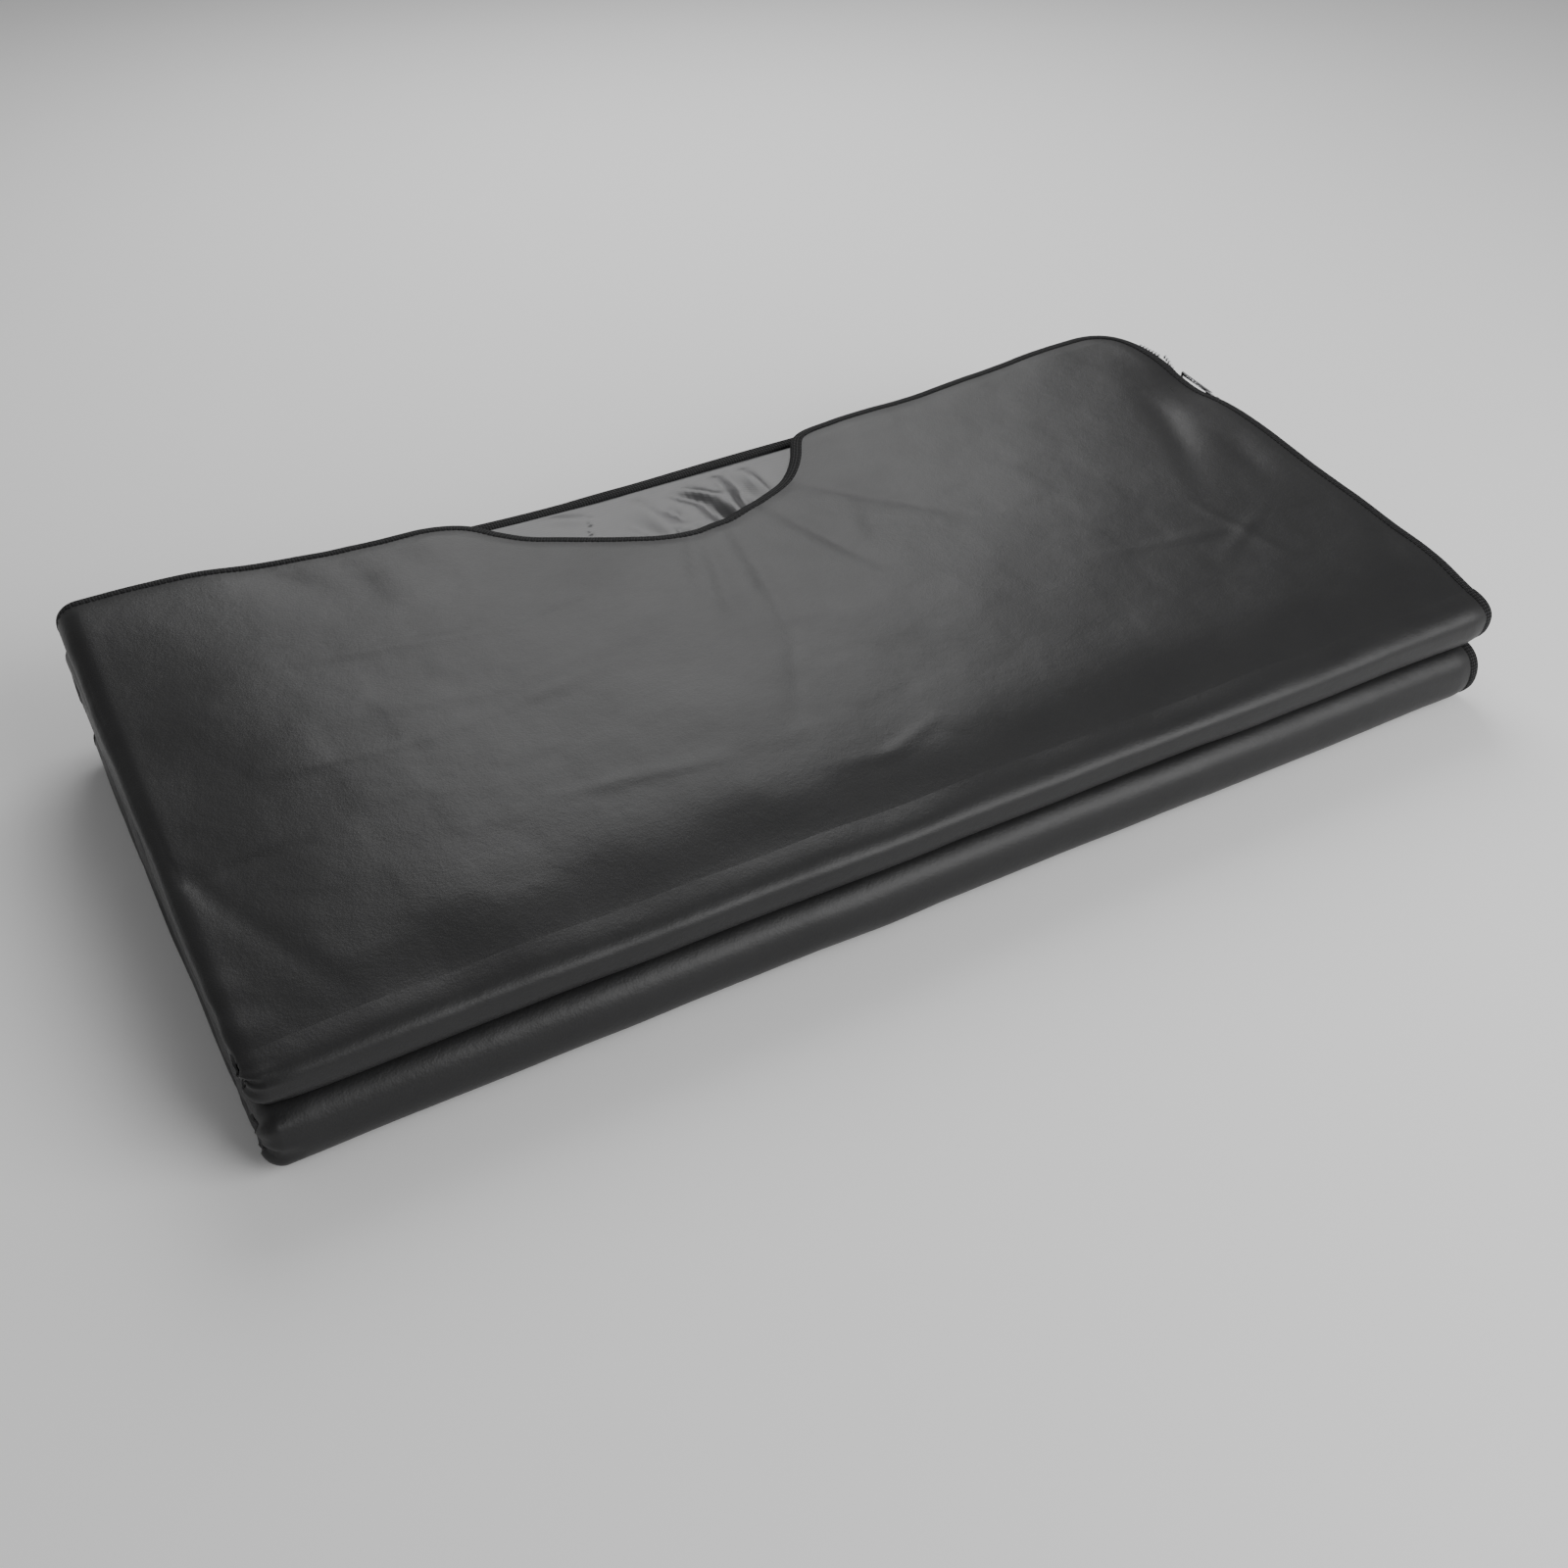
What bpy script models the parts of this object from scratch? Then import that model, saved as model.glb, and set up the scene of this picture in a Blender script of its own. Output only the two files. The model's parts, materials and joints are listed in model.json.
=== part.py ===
"""Infrared sauna blanket, zipped sleeping-bag style, folded in four panels.

Metres, +Z up. X runs along the blanket's width, Y from the front folds (-Y) to the head edge (+Y), and the
origin is on the floor in the middle of the folded package. Panel 4, at the foot, lies on the floor, and
panels 3, 2 and 1 are stacked on it. Panels 4 and 3 join in the lower front fold, 3 and 2 in the back fold, and
2 and 1 in the upper front fold. Each panel holds a cover sheet and a base sheet, joined along the left side
and closed by a zip along the right side. The stack is tighter at the front folds than at the back.
"""

import math

import bmesh
import bpy
from mathutils import Matrix, Vector

# Overall sizes of the folded package
WIDTH = 0.869
DEPTH = 0.455
FRONT_PANEL_THICKNESS = 0.0225
BACK_PANEL_THICKNESS = 0.03125

# Layers of one sheet, from the outside in
LEATHER = 0.0012
HEATER = 0.0010
LINING = 0.0007
BODY_SPACE_HALF = 0.0005
LAYER_GAP = 0.0003
HEATER_EDGE_MARGIN = 0.030
HEATER_SOCKET_MARGIN = 0.012

# Head edge, corners and edge binding
SCOOP_CENTRE = -0.020
SCOOP_HALF_WIDTH = 0.130
SCOOP_DEPTH = 0.080
CORNER_RADIUS = 0.045
BINDING_WIDTH = 0.009
BINDING_EDGE_HEIGHT = 0.0045

# Zip
TEETH_PITCH = 0.004
TOOTH_LENGTH = 0.0018
BEAD_HEIGHT = 0.0014
CHAIN_WIDTH = 0.0040
CHAIN_HALF_GAP = 0.0010
TAPE_WIDTH = 0.0095
TAPE_THICKNESS = 0.0010
SLIDER_LENGTH = 0.015
SLIDER_HEIGHT = 0.011
SLIDER_PLATE = 0.0014
SLIDER_FROM_HEAD = 0.150
PULL_LENGTH = 0.044
PULL_HEIGHT = 0.0090
PULL_THICKNESS = 0.0015
PIN_RADIUS = 0.0009
EYE_RADIUS = 0.0022
EYE_HEIGHT = 0.0042
PULL_FRAME = 0.0024
PULL_NECK = 0.007
LUG_WALL = 0.0010
LUG_HALF_LENGTH = 0.0016

# Electrical pieces inside the foot panel and the head panel
SOCKET_SIZE = Vector((0.030, 0.024, 0.0110))
SOCKET_PLACE_X = 0.300
SOCKET_BORE_RADIUS = 0.0035
SOCKET_LEAD_LENGTH = 0.012
CUTOFF_SIZE = Vector((0.018, 0.008, 0.0050))
SENSOR_SIZE = Vector((0.016, 0.008, 0.0024))
LOOM_RADIUS = 0.0016
POCKET_CLEARANCE = 0.0010

# Clearances
PANEL_GAP = 0.0003
FOLD_CLEARANCE = 0.0005
TOUCH_GAP = 0.0003
PIN_CLEARANCE = 0.0004

ARC_STEPS = 8
ROLL_STEPS = 16

# Derived sizes and places
ZIP_ROOM_HALF = CHAIN_HALF_GAP + TOOTH_LENGTH + BEAD_HEIGHT + TOUCH_GAP
SLIDER_PLATE_OUT = 2 * TOUCH_GAP + SLIDER_PLATE
PIN_OFFSET = SLIDER_PLATE_OUT + PIN_CLEARANCE + EYE_RADIUS
LEFT = -WIDTH / 2
RIGHT = WIDTH / 2 - PIN_OFFSET - EYE_RADIUS
FRONT_AXIS_Y = -DEPTH / 2 + FRONT_PANEL_THICKNESS
BACK_AXIS_Y = DEPTH / 2 - BACK_PANEL_THICKNESS
SHEET_RIGHT = RIGHT - BINDING_WIDTH - TOUCH_GAP
TAPE_LEFT = RIGHT - CHAIN_WIDTH - TOUCH_GAP - TAPE_WIDTH
SLOPE = (BACK_PANEL_THICKNESS - FRONT_PANEL_THICKNESS) / (BACK_AXIS_Y - FRONT_AXIS_Y)

LEATHER_BLACK = (0.030, 0.030, 0.032)
LINING_GREY = (0.16, 0.16, 0.165)
BATT_WHITE = (0.75, 0.75, 0.72)
HEATER_BLACK = (0.06, 0.06, 0.065)
TAPE_BLACK = (0.012, 0.012, 0.013)
METAL = (0.78, 0.78, 0.80)
PLASTIC_BLACK = (0.02, 0.02, 0.02)
COPPER_RED = (0.45, 0.05, 0.04)

parts = None
cutters = None


def panel_thickness(y):
    """Height of one panel in the stack at y."""
    return FRONT_PANEL_THICKNESS + SLOPE * (y - FRONT_AXIS_Y)


def level(k, y):
    """Height of the k-th boundary of the stack at y: 0 is the floor, 4 the top, halves are mid-panel."""
    return k * panel_thickness(y)


def start_scene():
    """Clears the scene and makes the two collections."""
    global parts, cutters
    for ob in list(bpy.data.objects):
        bpy.data.objects.remove(ob, do_unlink=True)
    parts = bpy.data.collections.new("sauna_blanket")
    cutters = bpy.data.collections.new("cutters")
    bpy.context.scene.collection.children.link(parts)
    bpy.context.scene.collection.children.link(cutters)


def surface(name, color, roughness, metallic):
    """Principled material named after its part."""
    mat = bpy.data.materials.new(name)
    mat.use_nodes = True
    shader = mat.node_tree.nodes["Principled BSDF"]
    shader.inputs["Base Color"].default_value = (*color, 1.0)
    shader.inputs["Roughness"].default_value = roughness
    shader.inputs["Metallic"].default_value = metallic
    return mat


def face_outwards(bm):
    """Turns all faces of a closed body outwards, also where its outline is deeply notched."""
    bmesh.ops.recalc_face_normals(bm, faces=bm.faces)
    if bm.calc_volume(signed=True) < 0:
        bmesh.ops.reverse_faces(bm, faces=bm.faces)


def add_part(name, bm, color, roughness=0.5, metallic=0.0, smooth=True):
    """Object of the finished bmesh, in the parts collection, with its own material."""
    face_outwards(bm)
    mesh = bpy.data.meshes.new(name)
    bm.to_mesh(mesh)
    bm.free()
    if smooth:
        mesh.shade_smooth()
        mesh.set_sharp_from_angle(angle=math.radians(35))
    ob = bpy.data.objects.new(name, mesh)
    parts.objects.link(ob)
    mesh.materials.append(surface(name, color, roughness, metallic))
    return ob


def add_cutter(name, bm):
    """Wire object that only cuts others."""
    face_outwards(bm)
    mesh = bpy.data.meshes.new(name)
    bm.to_mesh(mesh)
    bm.free()
    ob = bpy.data.objects.new(name, mesh)
    ob.hide_render = True
    ob.display_type = "WIRE"
    cutters.objects.link(ob)
    return ob


def boolean(ob, other, operation):
    """Live exact Boolean of other on ob."""
    mod = ob.modifiers.new(operation.lower() + "_" + other.name, "BOOLEAN")
    mod.operation = operation
    mod.object = other


def loft(sections):
    """Closed body through rings of equal point counts, capped at both ends."""
    bm = bmesh.new()
    rings = [[bm.verts.new(point) for point in section] for section in sections]
    count = len(rings[0])
    for lower, upper in zip(rings, rings[1:]):
        for i in range(count):
            j = (i + 1) % count
            bm.faces.new((lower[i], lower[j], upper[j], upper[i]))
    bm.faces.new(rings[0])
    bm.faces.new(rings[-1])
    return bm


def box(low, high):
    """Block between two corners."""
    bm = bmesh.new()
    low = Vector(low)
    high = Vector(high)
    size = high - low
    place = Matrix.Translation((low + high) / 2) @ Matrix.Diagonal((*size, 1.0))
    bmesh.ops.create_cube(bm, size=1.0, matrix=place)
    return bm


def rod(centre, axis, radius, length, segments=24):
    """Cylinder centred on a point along an axis."""
    bm = bmesh.new()
    turn = Vector((0, 0, 1)).rotation_difference(Vector(axis)).to_matrix().to_4x4()
    place = Matrix.Translation(centre) @ turn
    bmesh.ops.create_cone(
        bm, cap_ends=True, segments=segments, radius1=radius, radius2=radius, depth=length, matrix=place
    )
    return bm


# Panels


def c_section(k, y, outer, inner, right):
    """Section at y of a layer that runs round the left side fold of panel k: from the depth outer to the depth
    inner below the panel's own surface, open on the right."""
    bottom = level(k, y) + (PANEL_GAP if k else 0.0)
    top = level(k + 1, y) - PANEL_GAP
    middle = (bottom + top) / 2
    half = (top - bottom) / 2
    centre = LEFT + half
    ring = []
    for depth, way in ((outer, 1), (inner(half), -1)):
        radius = half - depth
        path = [(right, middle + radius)]
        for step in range(ARC_STEPS + 1):
            angle = math.pi / 2 + math.pi * step / ARC_STEPS
            path.append((centre + radius * math.cos(angle), middle + radius * math.sin(angle)))
        path.append((right, middle - radius))
        ring += path[::way]
    return [(x, y, z) for x, z in ring]


def leather_inner(half):
    """Depth of the leather's inner face."""
    return LEATHER


def lining_outer_depth(half):
    """Depth of the lining's outer face, next to the heater."""
    return half - BODY_SPACE_HALF - LINING


def lining_inner(half):
    """Depth of the lining's inner face, next to the body space."""
    return half - BODY_SPACE_HALF


def insulation_inner(half):
    """Depth of the insulation's inner face."""
    return lining_outer_depth(half) - HEATER - 2 * LAYER_GAP


def panel_span(number):
    """Front and back end of a panel's sheets, before its edge binding."""
    front = FRONT_AXIS_Y + TOUCH_GAP / 2
    back = BACK_AXIS_Y - TOUCH_GAP / 2
    if number in (1, 4):
        back = BACK_AXIS_Y - BINDING_WIDTH - 2 * TOUCH_GAP
    return front, back


def shell(number, k):
    """Artificial leather outside of one panel: cover and base in one piece round the left side."""
    ends = panel_span(number)
    bm = loft([c_section(k, y, 0.0, leather_inner, SHEET_RIGHT) for y in ends])
    return add_part(f"shell_{number}", bm, LEATHER_BLACK, 0.42)


def insulation(number, k):
    """Padding batt between the leather and the heaters."""
    ends = panel_span(number)
    outer = LEATHER + LAYER_GAP
    bm = loft([c_section(k, y, outer, insulation_inner, SHEET_RIGHT) for y in ends])
    return add_part(f"insulation_{number}", bm, BATT_WHITE, 0.9)


def lining_section(k, y):
    """Section of the lining at y; it stops short of the zip tapes."""
    half = (panel_thickness(y) - PANEL_GAP * (2 if k else 1)) / 2
    return c_section(k, y, lining_outer_depth(half), lining_inner, TAPE_LEFT - TOUCH_GAP)


def lining(number, k):
    """Waterproof inner lining of one panel."""
    bm = loft([lining_section(k, y) for y in panel_span(number)])
    return add_part(f"lining_{number}", bm, LINING_GREY, 0.3)


def heater(number, k, side, name):
    """Flat carbon heating mat between insulation and lining: side 1 above the body space, -1 below it."""
    front, back = panel_span(number)
    front += HEATER_EDGE_MARGIN
    back -= HEATER_EDGE_MARGIN
    if number == 4:
        back = cutoff_front() - HEATER_SOCKET_MARGIN
    left = LEFT + HEATER_EDGE_MARGIN
    right = SHEET_RIGHT - HEATER_EDGE_MARGIN
    near = BODY_SPACE_HALF + LINING + LAYER_GAP
    sections = []
    for y in (front, back):
        middle = (level(k, y) + (PANEL_GAP if k else 0.0) + level(k + 1, y) - PANEL_GAP) / 2
        low, high = sorted((middle + side * near, middle + side * (near + HEATER)))
        sections.append([(left, y, low), (right, y, low), (right, y, high), (left, y, high)])
    return add_part(name, loft(sections), HEATER_BLACK, 0.6)


# Edge bindings


def edge_path(number, neck):
    """Outer line of a sheet's bound edge: from the left side along the free end, round the corner and forward."""
    points = []
    end = BACK_AXIS_Y - TOUCH_GAP
    inner = LEFT + BACK_PANEL_THICKNESS / 2
    if number in (1, 4):
        points.append(Vector((inner, end)))
        if neck:
            steps = 2 * ARC_STEPS
            for step in range(steps + 1):
                share = step / steps * 2 - 1
                x = SCOOP_CENTRE + SCOOP_HALF_WIDTH * share
                points.append(Vector((x, end - SCOOP_DEPTH * (1 + math.cos(math.pi * share)) / 2)))
        for step in range(ARC_STEPS + 1):
            angle = math.pi / 2 * (1 - step / ARC_STEPS)
            x = RIGHT - CORNER_RADIUS * (1 - math.cos(angle))
            points.append(Vector((x, end - CORNER_RADIUS * (1 - math.sin(angle)))))
    else:
        points.append(Vector((RIGHT, end)))
    points.append(Vector((RIGHT, FRONT_AXIS_Y + TOUCH_GAP / 2)))
    return points


def path_inset(points, distance):
    """The path moved to its right-hand side, which is inwards, by distance at each corner's mean normal."""
    moved = []
    for i, point in enumerate(points):
        before = points[max(i - 1, 0)]
        after = points[min(i + 1, len(points) - 1)]
        along = (after - before).normalized()
        moved.append(point + Vector((along.y, -along.x)) * distance)
    return moved


def binding(number, k, side, name, neck=False):
    """Tape folded over a sheet's edge: side 1 on the upper sheet of the panel, -1 on the lower one."""
    outer = edge_path(number, neck)
    inner = path_inset(outer, BINDING_WIDTH)
    sections = []
    for out, inn in zip(outer, inner):
        section = []
        for place, height in ((out, BINDING_EDGE_HEIGHT), (inn, None)):
            bottom = level(k, place.y) + (PANEL_GAP if k else 0.0)
            top = level(k + 1, place.y) - PANEL_GAP
            middle = (bottom + top) / 2
            near = middle + side * ZIP_ROOM_HALF
            far = top if side > 0 else bottom
            if height is not None:
                far = near + side * height
            section.append([(place.x, place.y, near), (place.x, place.y, far)])
        sections.append([section[0][0], section[0][1], section[1][1], section[1][0]])
    return add_part(name, loft(sections), TAPE_BLACK, 0.75)


def free_edge_cutter(number, k, neck):
    """Everything outside the bound edge of a panel with a free end, so that the sheets stop at the binding.
    With neck, it stands only on the upper sheet."""
    inner = path_inset(edge_path(number, neck), BINDING_WIDTH + TOUCH_GAP)
    front = inner[-1].y - FRONT_PANEL_THICKNESS
    outline = [Vector((inner[0].x - BACK_PANEL_THICKNESS, inner[0].y))] + inner
    outline += [Vector((inner[-1].x, front)), Vector((WIDTH, front))]
    outline += [Vector((WIDTH, DEPTH)), Vector((outline[0].x, DEPTH))]
    low = k + 0.5 if neck else k - 0.5
    bottom = [(p.x, p.y, level(low, p.y)) for p in outline]
    top = [(p.x, p.y, level(k + 1.5, p.y)) for p in outline]
    return add_cutter(f"edge_cutter_{number}_{'neck' if neck else 'corner'}", loft([bottom, top]))


# Folds


def half_turn(axis_y, axis_z, profile):
    """Solid that an (x, radius) profile sweeps in half a turn round a fold's axis, on the fold's outer side."""
    side = -1 if axis_y < 0 else 1
    start = axis_y + side * TOUCH_GAP / 2
    bm = bmesh.new()
    verts = [bm.verts.new((x, start, axis_z - radius)) for x, radius in profile]
    face = bm.faces.new(verts)
    bmesh.ops.spin(
        bm, geom=[face, *face.edges, *verts], cent=(0, start, axis_z), axis=(1, 0, 0), angle=side * math.pi,
        steps=ROLL_STEPS, use_merge=False, use_normal_flip=False, use_duplicate=False,
    )
    return bm


def roll_leather(name, axis_y, axis_z, outer, inner):
    """Leather of the outer sheet round a fold; it also closes the fold's left end."""
    left = LEFT + TOUCH_GAP
    wall = left + LEATHER
    profile = [(left, TOUCH_GAP), (left, outer), (SHEET_RIGHT, outer), (SHEET_RIGHT, inner)]
    profile += [(wall, inner), (wall, TOUCH_GAP)]
    return add_part(name, half_turn(axis_y, axis_z, profile), LEATHER_BLACK, 0.42)


def roll_layer(name, axis_y, axis_z, outer, inner, color, roughness):
    """Half ring of one layer round a fold, inside the leather's left end."""
    left = LEFT + LEATHER + 2 * TOUCH_GAP
    profile = [(left, inner), (left, outer), (SHEET_RIGHT, outer), (SHEET_RIGHT, inner)]
    return add_part(name, half_turn(axis_y, axis_z, profile), color, roughness)


def roll_binding(name, axis_y, axis_z, outer, inner):
    """Edge tape of one sheet where it goes round a fold, at the right end of the roll; its outer edge is thinner."""
    left = SHEET_RIGHT + TOUCH_GAP
    rim = outer - LEATHER
    profile = [(left, inner), (left, outer), (RIGHT, rim), (RIGHT, max(rim - BINDING_EDGE_HEIGHT, inner))]
    return add_part(name, half_turn(axis_y, axis_z, profile), TAPE_BLACK, 0.75)


def fold(name, axis_y, axis_z, radius):
    """One fold: the outer sheet's leather and padding, both linings, and the inner sheet, turned round an axis."""
    skin = radius - PANEL_GAP
    batt = skin - LEATHER - LAYER_GAP
    lining_out = radius / 2 + LINING + BODY_SPACE_HALF
    lining_in = lining_out - 2 * LINING
    core = lining_in - LAYER_GAP
    place = (axis_y, axis_z)
    roll_leather(f"fold_leather_{name}", *place, skin, skin - LEATHER)
    roll_layer(f"fold_insulation_{name}", *place, batt, lining_out + LAYER_GAP, BATT_WHITE, 0.9)
    roll_layer(f"fold_lining_{name}", *place, lining_out, lining_in, LINING_GREY, 0.3)
    roll_layer(f"fold_inner_sheet_{name}", *place, core, TOUCH_GAP, LEATHER_BLACK, 0.5)
    roll_binding(f"fold_binding_outer_{name}", *place, skin, lining_out + LAYER_GAP)
    roll_binding(f"fold_binding_inner_{name}", *place, core, TOUCH_GAP)


def fold_cutter(name, axis_y, axis_z, radius):
    """Round clearance that a panel turning about this fold's axis needs at its end."""
    bm = rod((0, axis_y, axis_z), (1, 0, 0), radius + FOLD_CLEARANCE, 2 * WIDTH, segments=64)
    return add_cutter(f"fold_cutter_{name}", bm)


# Zip


def zip_frame():
    """Frame along the head panel's zip: local Y runs up the zip line towards the head, local Z across it."""
    k = 3.5
    start_y = 0.0
    angle = math.atan(k * SLOPE)
    place = Matrix.Translation((RIGHT, start_y, level(k, start_y)))
    return place @ Matrix.Rotation(angle, 4, "X")


def along_zip(y):
    """Distance along the zip line of the point at y."""
    return y / math.cos(math.atan(3.5 * SLOPE))


def chain_range():
    """Lowest and highest distance along the zip that the head panel's chain covers."""
    front = FRONT_AXIS_Y + FRONT_PANEL_THICKNESS + 2 * FOLD_CLEARANCE
    back = BACK_AXIS_Y - CORNER_RADIUS
    return along_zip(front), along_zip(back)


def teeth(name, side):
    """Row of teeth on its bead, one per tape, as a comb: side 1 on the cover, -1 on the base."""
    low, high = chain_range()
    root = side * (CHAIN_HALF_GAP + TOOTH_LENGTH)
    tip = side * CHAIN_HALF_GAP
    bead = side * (ZIP_ROOM_HALF - TOUCH_GAP)
    count = int((high - low) / TEETH_PITCH)
    outline = [(low, bead), (low, root)]
    for i in range(count):
        start = low + i * TEETH_PITCH + TEETH_PITCH / 4
        outline += [(start, root), (start, tip), (start + TEETH_PITCH / 2, tip), (start + TEETH_PITCH / 2, root)]
    outline += [(high, root), (high, bead)]
    bm = loft([[(-x, s, w) for s, w in outline] for x in (CHAIN_WIDTH, TOUCH_GAP)])
    bm.transform(zip_frame())
    return add_part(name, bm, METAL, 0.25, 1.0, smooth=False)


def zip_tape(name, side):
    """Woven tape that carries a row of teeth, sewn in between binding and sheet."""
    low, high = chain_range()
    far = ZIP_ROOM_HALF - TOUCH_GAP
    near = far - TAPE_THICKNESS
    bottom, top = sorted((side * near, side * far))
    bm = box((TAPE_LEFT - RIGHT, low, bottom), (-CHAIN_WIDTH - TOUCH_GAP, high, top))
    bm.transform(zip_frame())
    return add_part(name, bm, TAPE_BLACK, 0.8)


def closed_zip(number, k):
    """Closed run of the zip along one of the folded-in panels: both tapes with the meshed chain."""
    far = ZIP_ROOM_HALF - TOUCH_GAP
    front = FRONT_AXIS_Y + FRONT_PANEL_THICKNESS + 2 * FOLD_CLEARANCE
    back = BACK_AXIS_Y - BACK_PANEL_THICKNESS - 2 * FOLD_CLEARANCE
    if number == 4:
        back = BACK_AXIS_Y - CORNER_RADIUS
    sections = []
    for y in (front, back):
        middle = level(k + 0.5, y)
        low = middle - far
        high = middle + far
        sections.append([(TAPE_LEFT, y, low), (RIGHT - TOUCH_GAP, y, low),
                         (RIGHT - TOUCH_GAP, y, high), (TAPE_LEFT, y, high)])
    return add_part(f"zip_chain_{number}", loft(sections), TAPE_BLACK, 0.6)


def zip_room_cutter(number, k):
    """Space between the two sheets at the right side that the zip and its tapes take up."""
    sections = []
    for y in (-DEPTH, DEPTH):
        middle = level(k + 0.5, y)
        low = middle - ZIP_ROOM_HALF
        high = middle + ZIP_ROOM_HALF
        left = TAPE_LEFT - TOUCH_GAP
        sections.append([(left, y, low), (WIDTH, y, low), (WIDTH, y, high), (left, y, high)])
    return add_cutter(f"zip_room_{number}", loft(sections))


def slider_place():
    """Distance along the zip of the slider's middle."""
    return along_zip(DEPTH / 2 - SLIDER_FROM_HEAD)


def zip_slider():
    """Slider: outer and inner plate on one post between the two rows of teeth, with lugs and a pin for the pull.
    Returns the pin's middle."""
    s = slider_place()
    half = SLIDER_LENGTH / 2
    low, high = s - half, s + half
    tall = SLIDER_HEIGHT / 2
    inside = -CHAIN_WIDTH - TOUCH_GAP - 2 * SLIDER_PLATE
    tongue = CHAIN_HALF_GAP - TOUCH_GAP
    lug = EYE_HEIGHT / 2 + TOUCH_GAP
    lug_end = lug + LUG_WALL
    root = SLIDER_PLATE_OUT - SLIDER_PLATE / 2
    tip = PIN_OFFSET + PIN_RADIUS + LUG_WALL / 2
    pin = Vector((PIN_OFFSET, s - half * 0.3, 0))
    front, back = pin.y - LUG_HALF_LENGTH, pin.y + LUG_HALF_LENGTH
    plate = box((2 * TOUCH_GAP, low, -tall), (SLIDER_PLATE_OUT, high, tall))
    plate.transform(zip_frame())
    slider = add_part("zip_slider", plate, METAL, 0.22, 1.0, smooth=False)
    pieces = {
        "inner_plate": box((inside, low, -2 * tongue), (inside + SLIDER_PLATE, high, 2 * tongue)),
        "post": box((inside + SLIDER_PLATE / 2, s + half * 0.4, -tongue), (root, s + half * 0.8, tongue)),
        "upper_lug": box((root, front, lug), (tip, back, lug_end)),
        "lower_lug": box((root, front, -lug_end), (tip, back, -lug)),
        "pin": rod(pin, (0, 0, 1), PIN_RADIUS, 2 * lug + LUG_WALL),
    }
    for name, bm in pieces.items():
        bm.transform(zip_frame())
        boolean(slider, add_cutter(f"slider_{name}", bm), "UNION")
    return zip_frame() @ pin


def zip_pull(pin):
    """Pull tab that lies flat along the zip towards the head and swings outwards about the slider's pin."""
    empty = bpy.data.objects.new("zip_pull_axis", None)
    parts.objects.link(empty)
    empty.matrix_world = Matrix.Translation(pin) @ zip_frame().to_3x3().to_4x4()
    thin = PULL_THICKNESS / 2
    tall = PULL_HEIGHT / 2
    neck = EYE_HEIGHT / 2 - TOUCH_GAP
    ring = rod((0, 0, 0), (0, 0, 1), EYE_RADIUS, EYE_HEIGHT)
    pull = add_part("zip_pull", ring, METAL, 0.2, 1.0, smooth=False)
    pull.parent = empty
    window_start = PULL_NECK + PULL_FRAME
    window_end = PULL_LENGTH - PULL_FRAME
    shapes = {
        "neck": (box((-thin, EYE_RADIUS / 2, -neck), (thin, PULL_NECK + PULL_FRAME / 2, neck)), "UNION"),
        "tab": (box((-thin, PULL_NECK, -tall), (thin, PULL_LENGTH, tall)), "UNION"),
        "window": (box((-tall, window_start, PULL_FRAME - tall), (tall, window_end, tall - PULL_FRAME)),
                   "DIFFERENCE"),
        "eye": (rod((0, 0, 0), (0, 0, 1), PIN_RADIUS + PIN_CLEARANCE, 2 * EYE_HEIGHT), "DIFFERENCE"),
    }
    for name, (bm, operation) in shapes.items():
        bm.transform(empty.matrix_world)
        boolean(pull, add_cutter(f"pull_{name}", bm), operation)


def top_stop():
    """Stop at the head end of the zip, clamped on the cover's bead."""
    low, high = chain_range()
    bm = box((-CHAIN_WIDTH, high + TOUCH_GAP, -ZIP_ROOM_HALF + TOUCH_GAP),
             (-TOUCH_GAP, high + TEETH_PITCH, ZIP_ROOM_HALF - TOUCH_GAP))
    bm.transform(zip_frame())
    return add_part("zip_top_stop", bm, METAL, 0.3, 1.0, smooth=False)


# Electrical pieces


def pocket(name, centre, size):
    """Cutter of a pocket round an inner piece."""
    room = size / 2 + Vector((POCKET_CLEARANCE,) * 3)
    return add_cutter(name, box(centre - room, centre + room))


def power_socket():
    """Low-voltage inlet socket at the foot edge, between the two sheets, with its round bore facing out."""
    y = BACK_AXIS_Y - TOUCH_GAP - SOCKET_SIZE.y / 2
    centre = Vector((SOCKET_PLACE_X, y, level(0.5, y)))
    half = SOCKET_SIZE / 2
    body = add_part("power_socket", box(centre - half, centre + half), PLASTIC_BLACK, 0.5)
    mouth = rod(centre + Vector((0, half.y, 0)), (0, 1, 0), SOCKET_BORE_RADIUS, SOCKET_SIZE.y)
    boolean(body, add_cutter("socket_bore", mouth), "DIFFERENCE")
    return centre


def cutoff_front():
    """Front face of the over-temperature switch."""
    return BACK_AXIS_Y - TOUCH_GAP - SOCKET_SIZE.y - SOCKET_LEAD_LENGTH - CUTOFF_SIZE.y


def thermal_cutoff():
    """Over-temperature switch wired next to the socket."""
    y = cutoff_front() + CUTOFF_SIZE.y / 2
    centre = Vector((SOCKET_PLACE_X, y, level(0.5, y)))
    add_part("thermal_cutoff", box(centre - CUTOFF_SIZE / 2, centre + CUTOFF_SIZE / 2), METAL, 0.35, 1.0)
    return centre


def socket_lead(socket_centre, cutoff_centre):
    """Lead between socket and thermal cut-off."""
    front = cutoff_centre.y + CUTOFF_SIZE.y / 2 + TOUCH_GAP
    back = socket_centre.y - SOCKET_SIZE.y / 2 - TOUCH_GAP
    middle = Vector((SOCKET_PLACE_X, (front + back) / 2, (socket_centre.z + cutoff_centre.z) / 2))
    return add_part("socket_lead", rod(middle, (0, 1, 0), LOOM_RADIUS, back - front, 12), COPPER_RED, 0.5)


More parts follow.
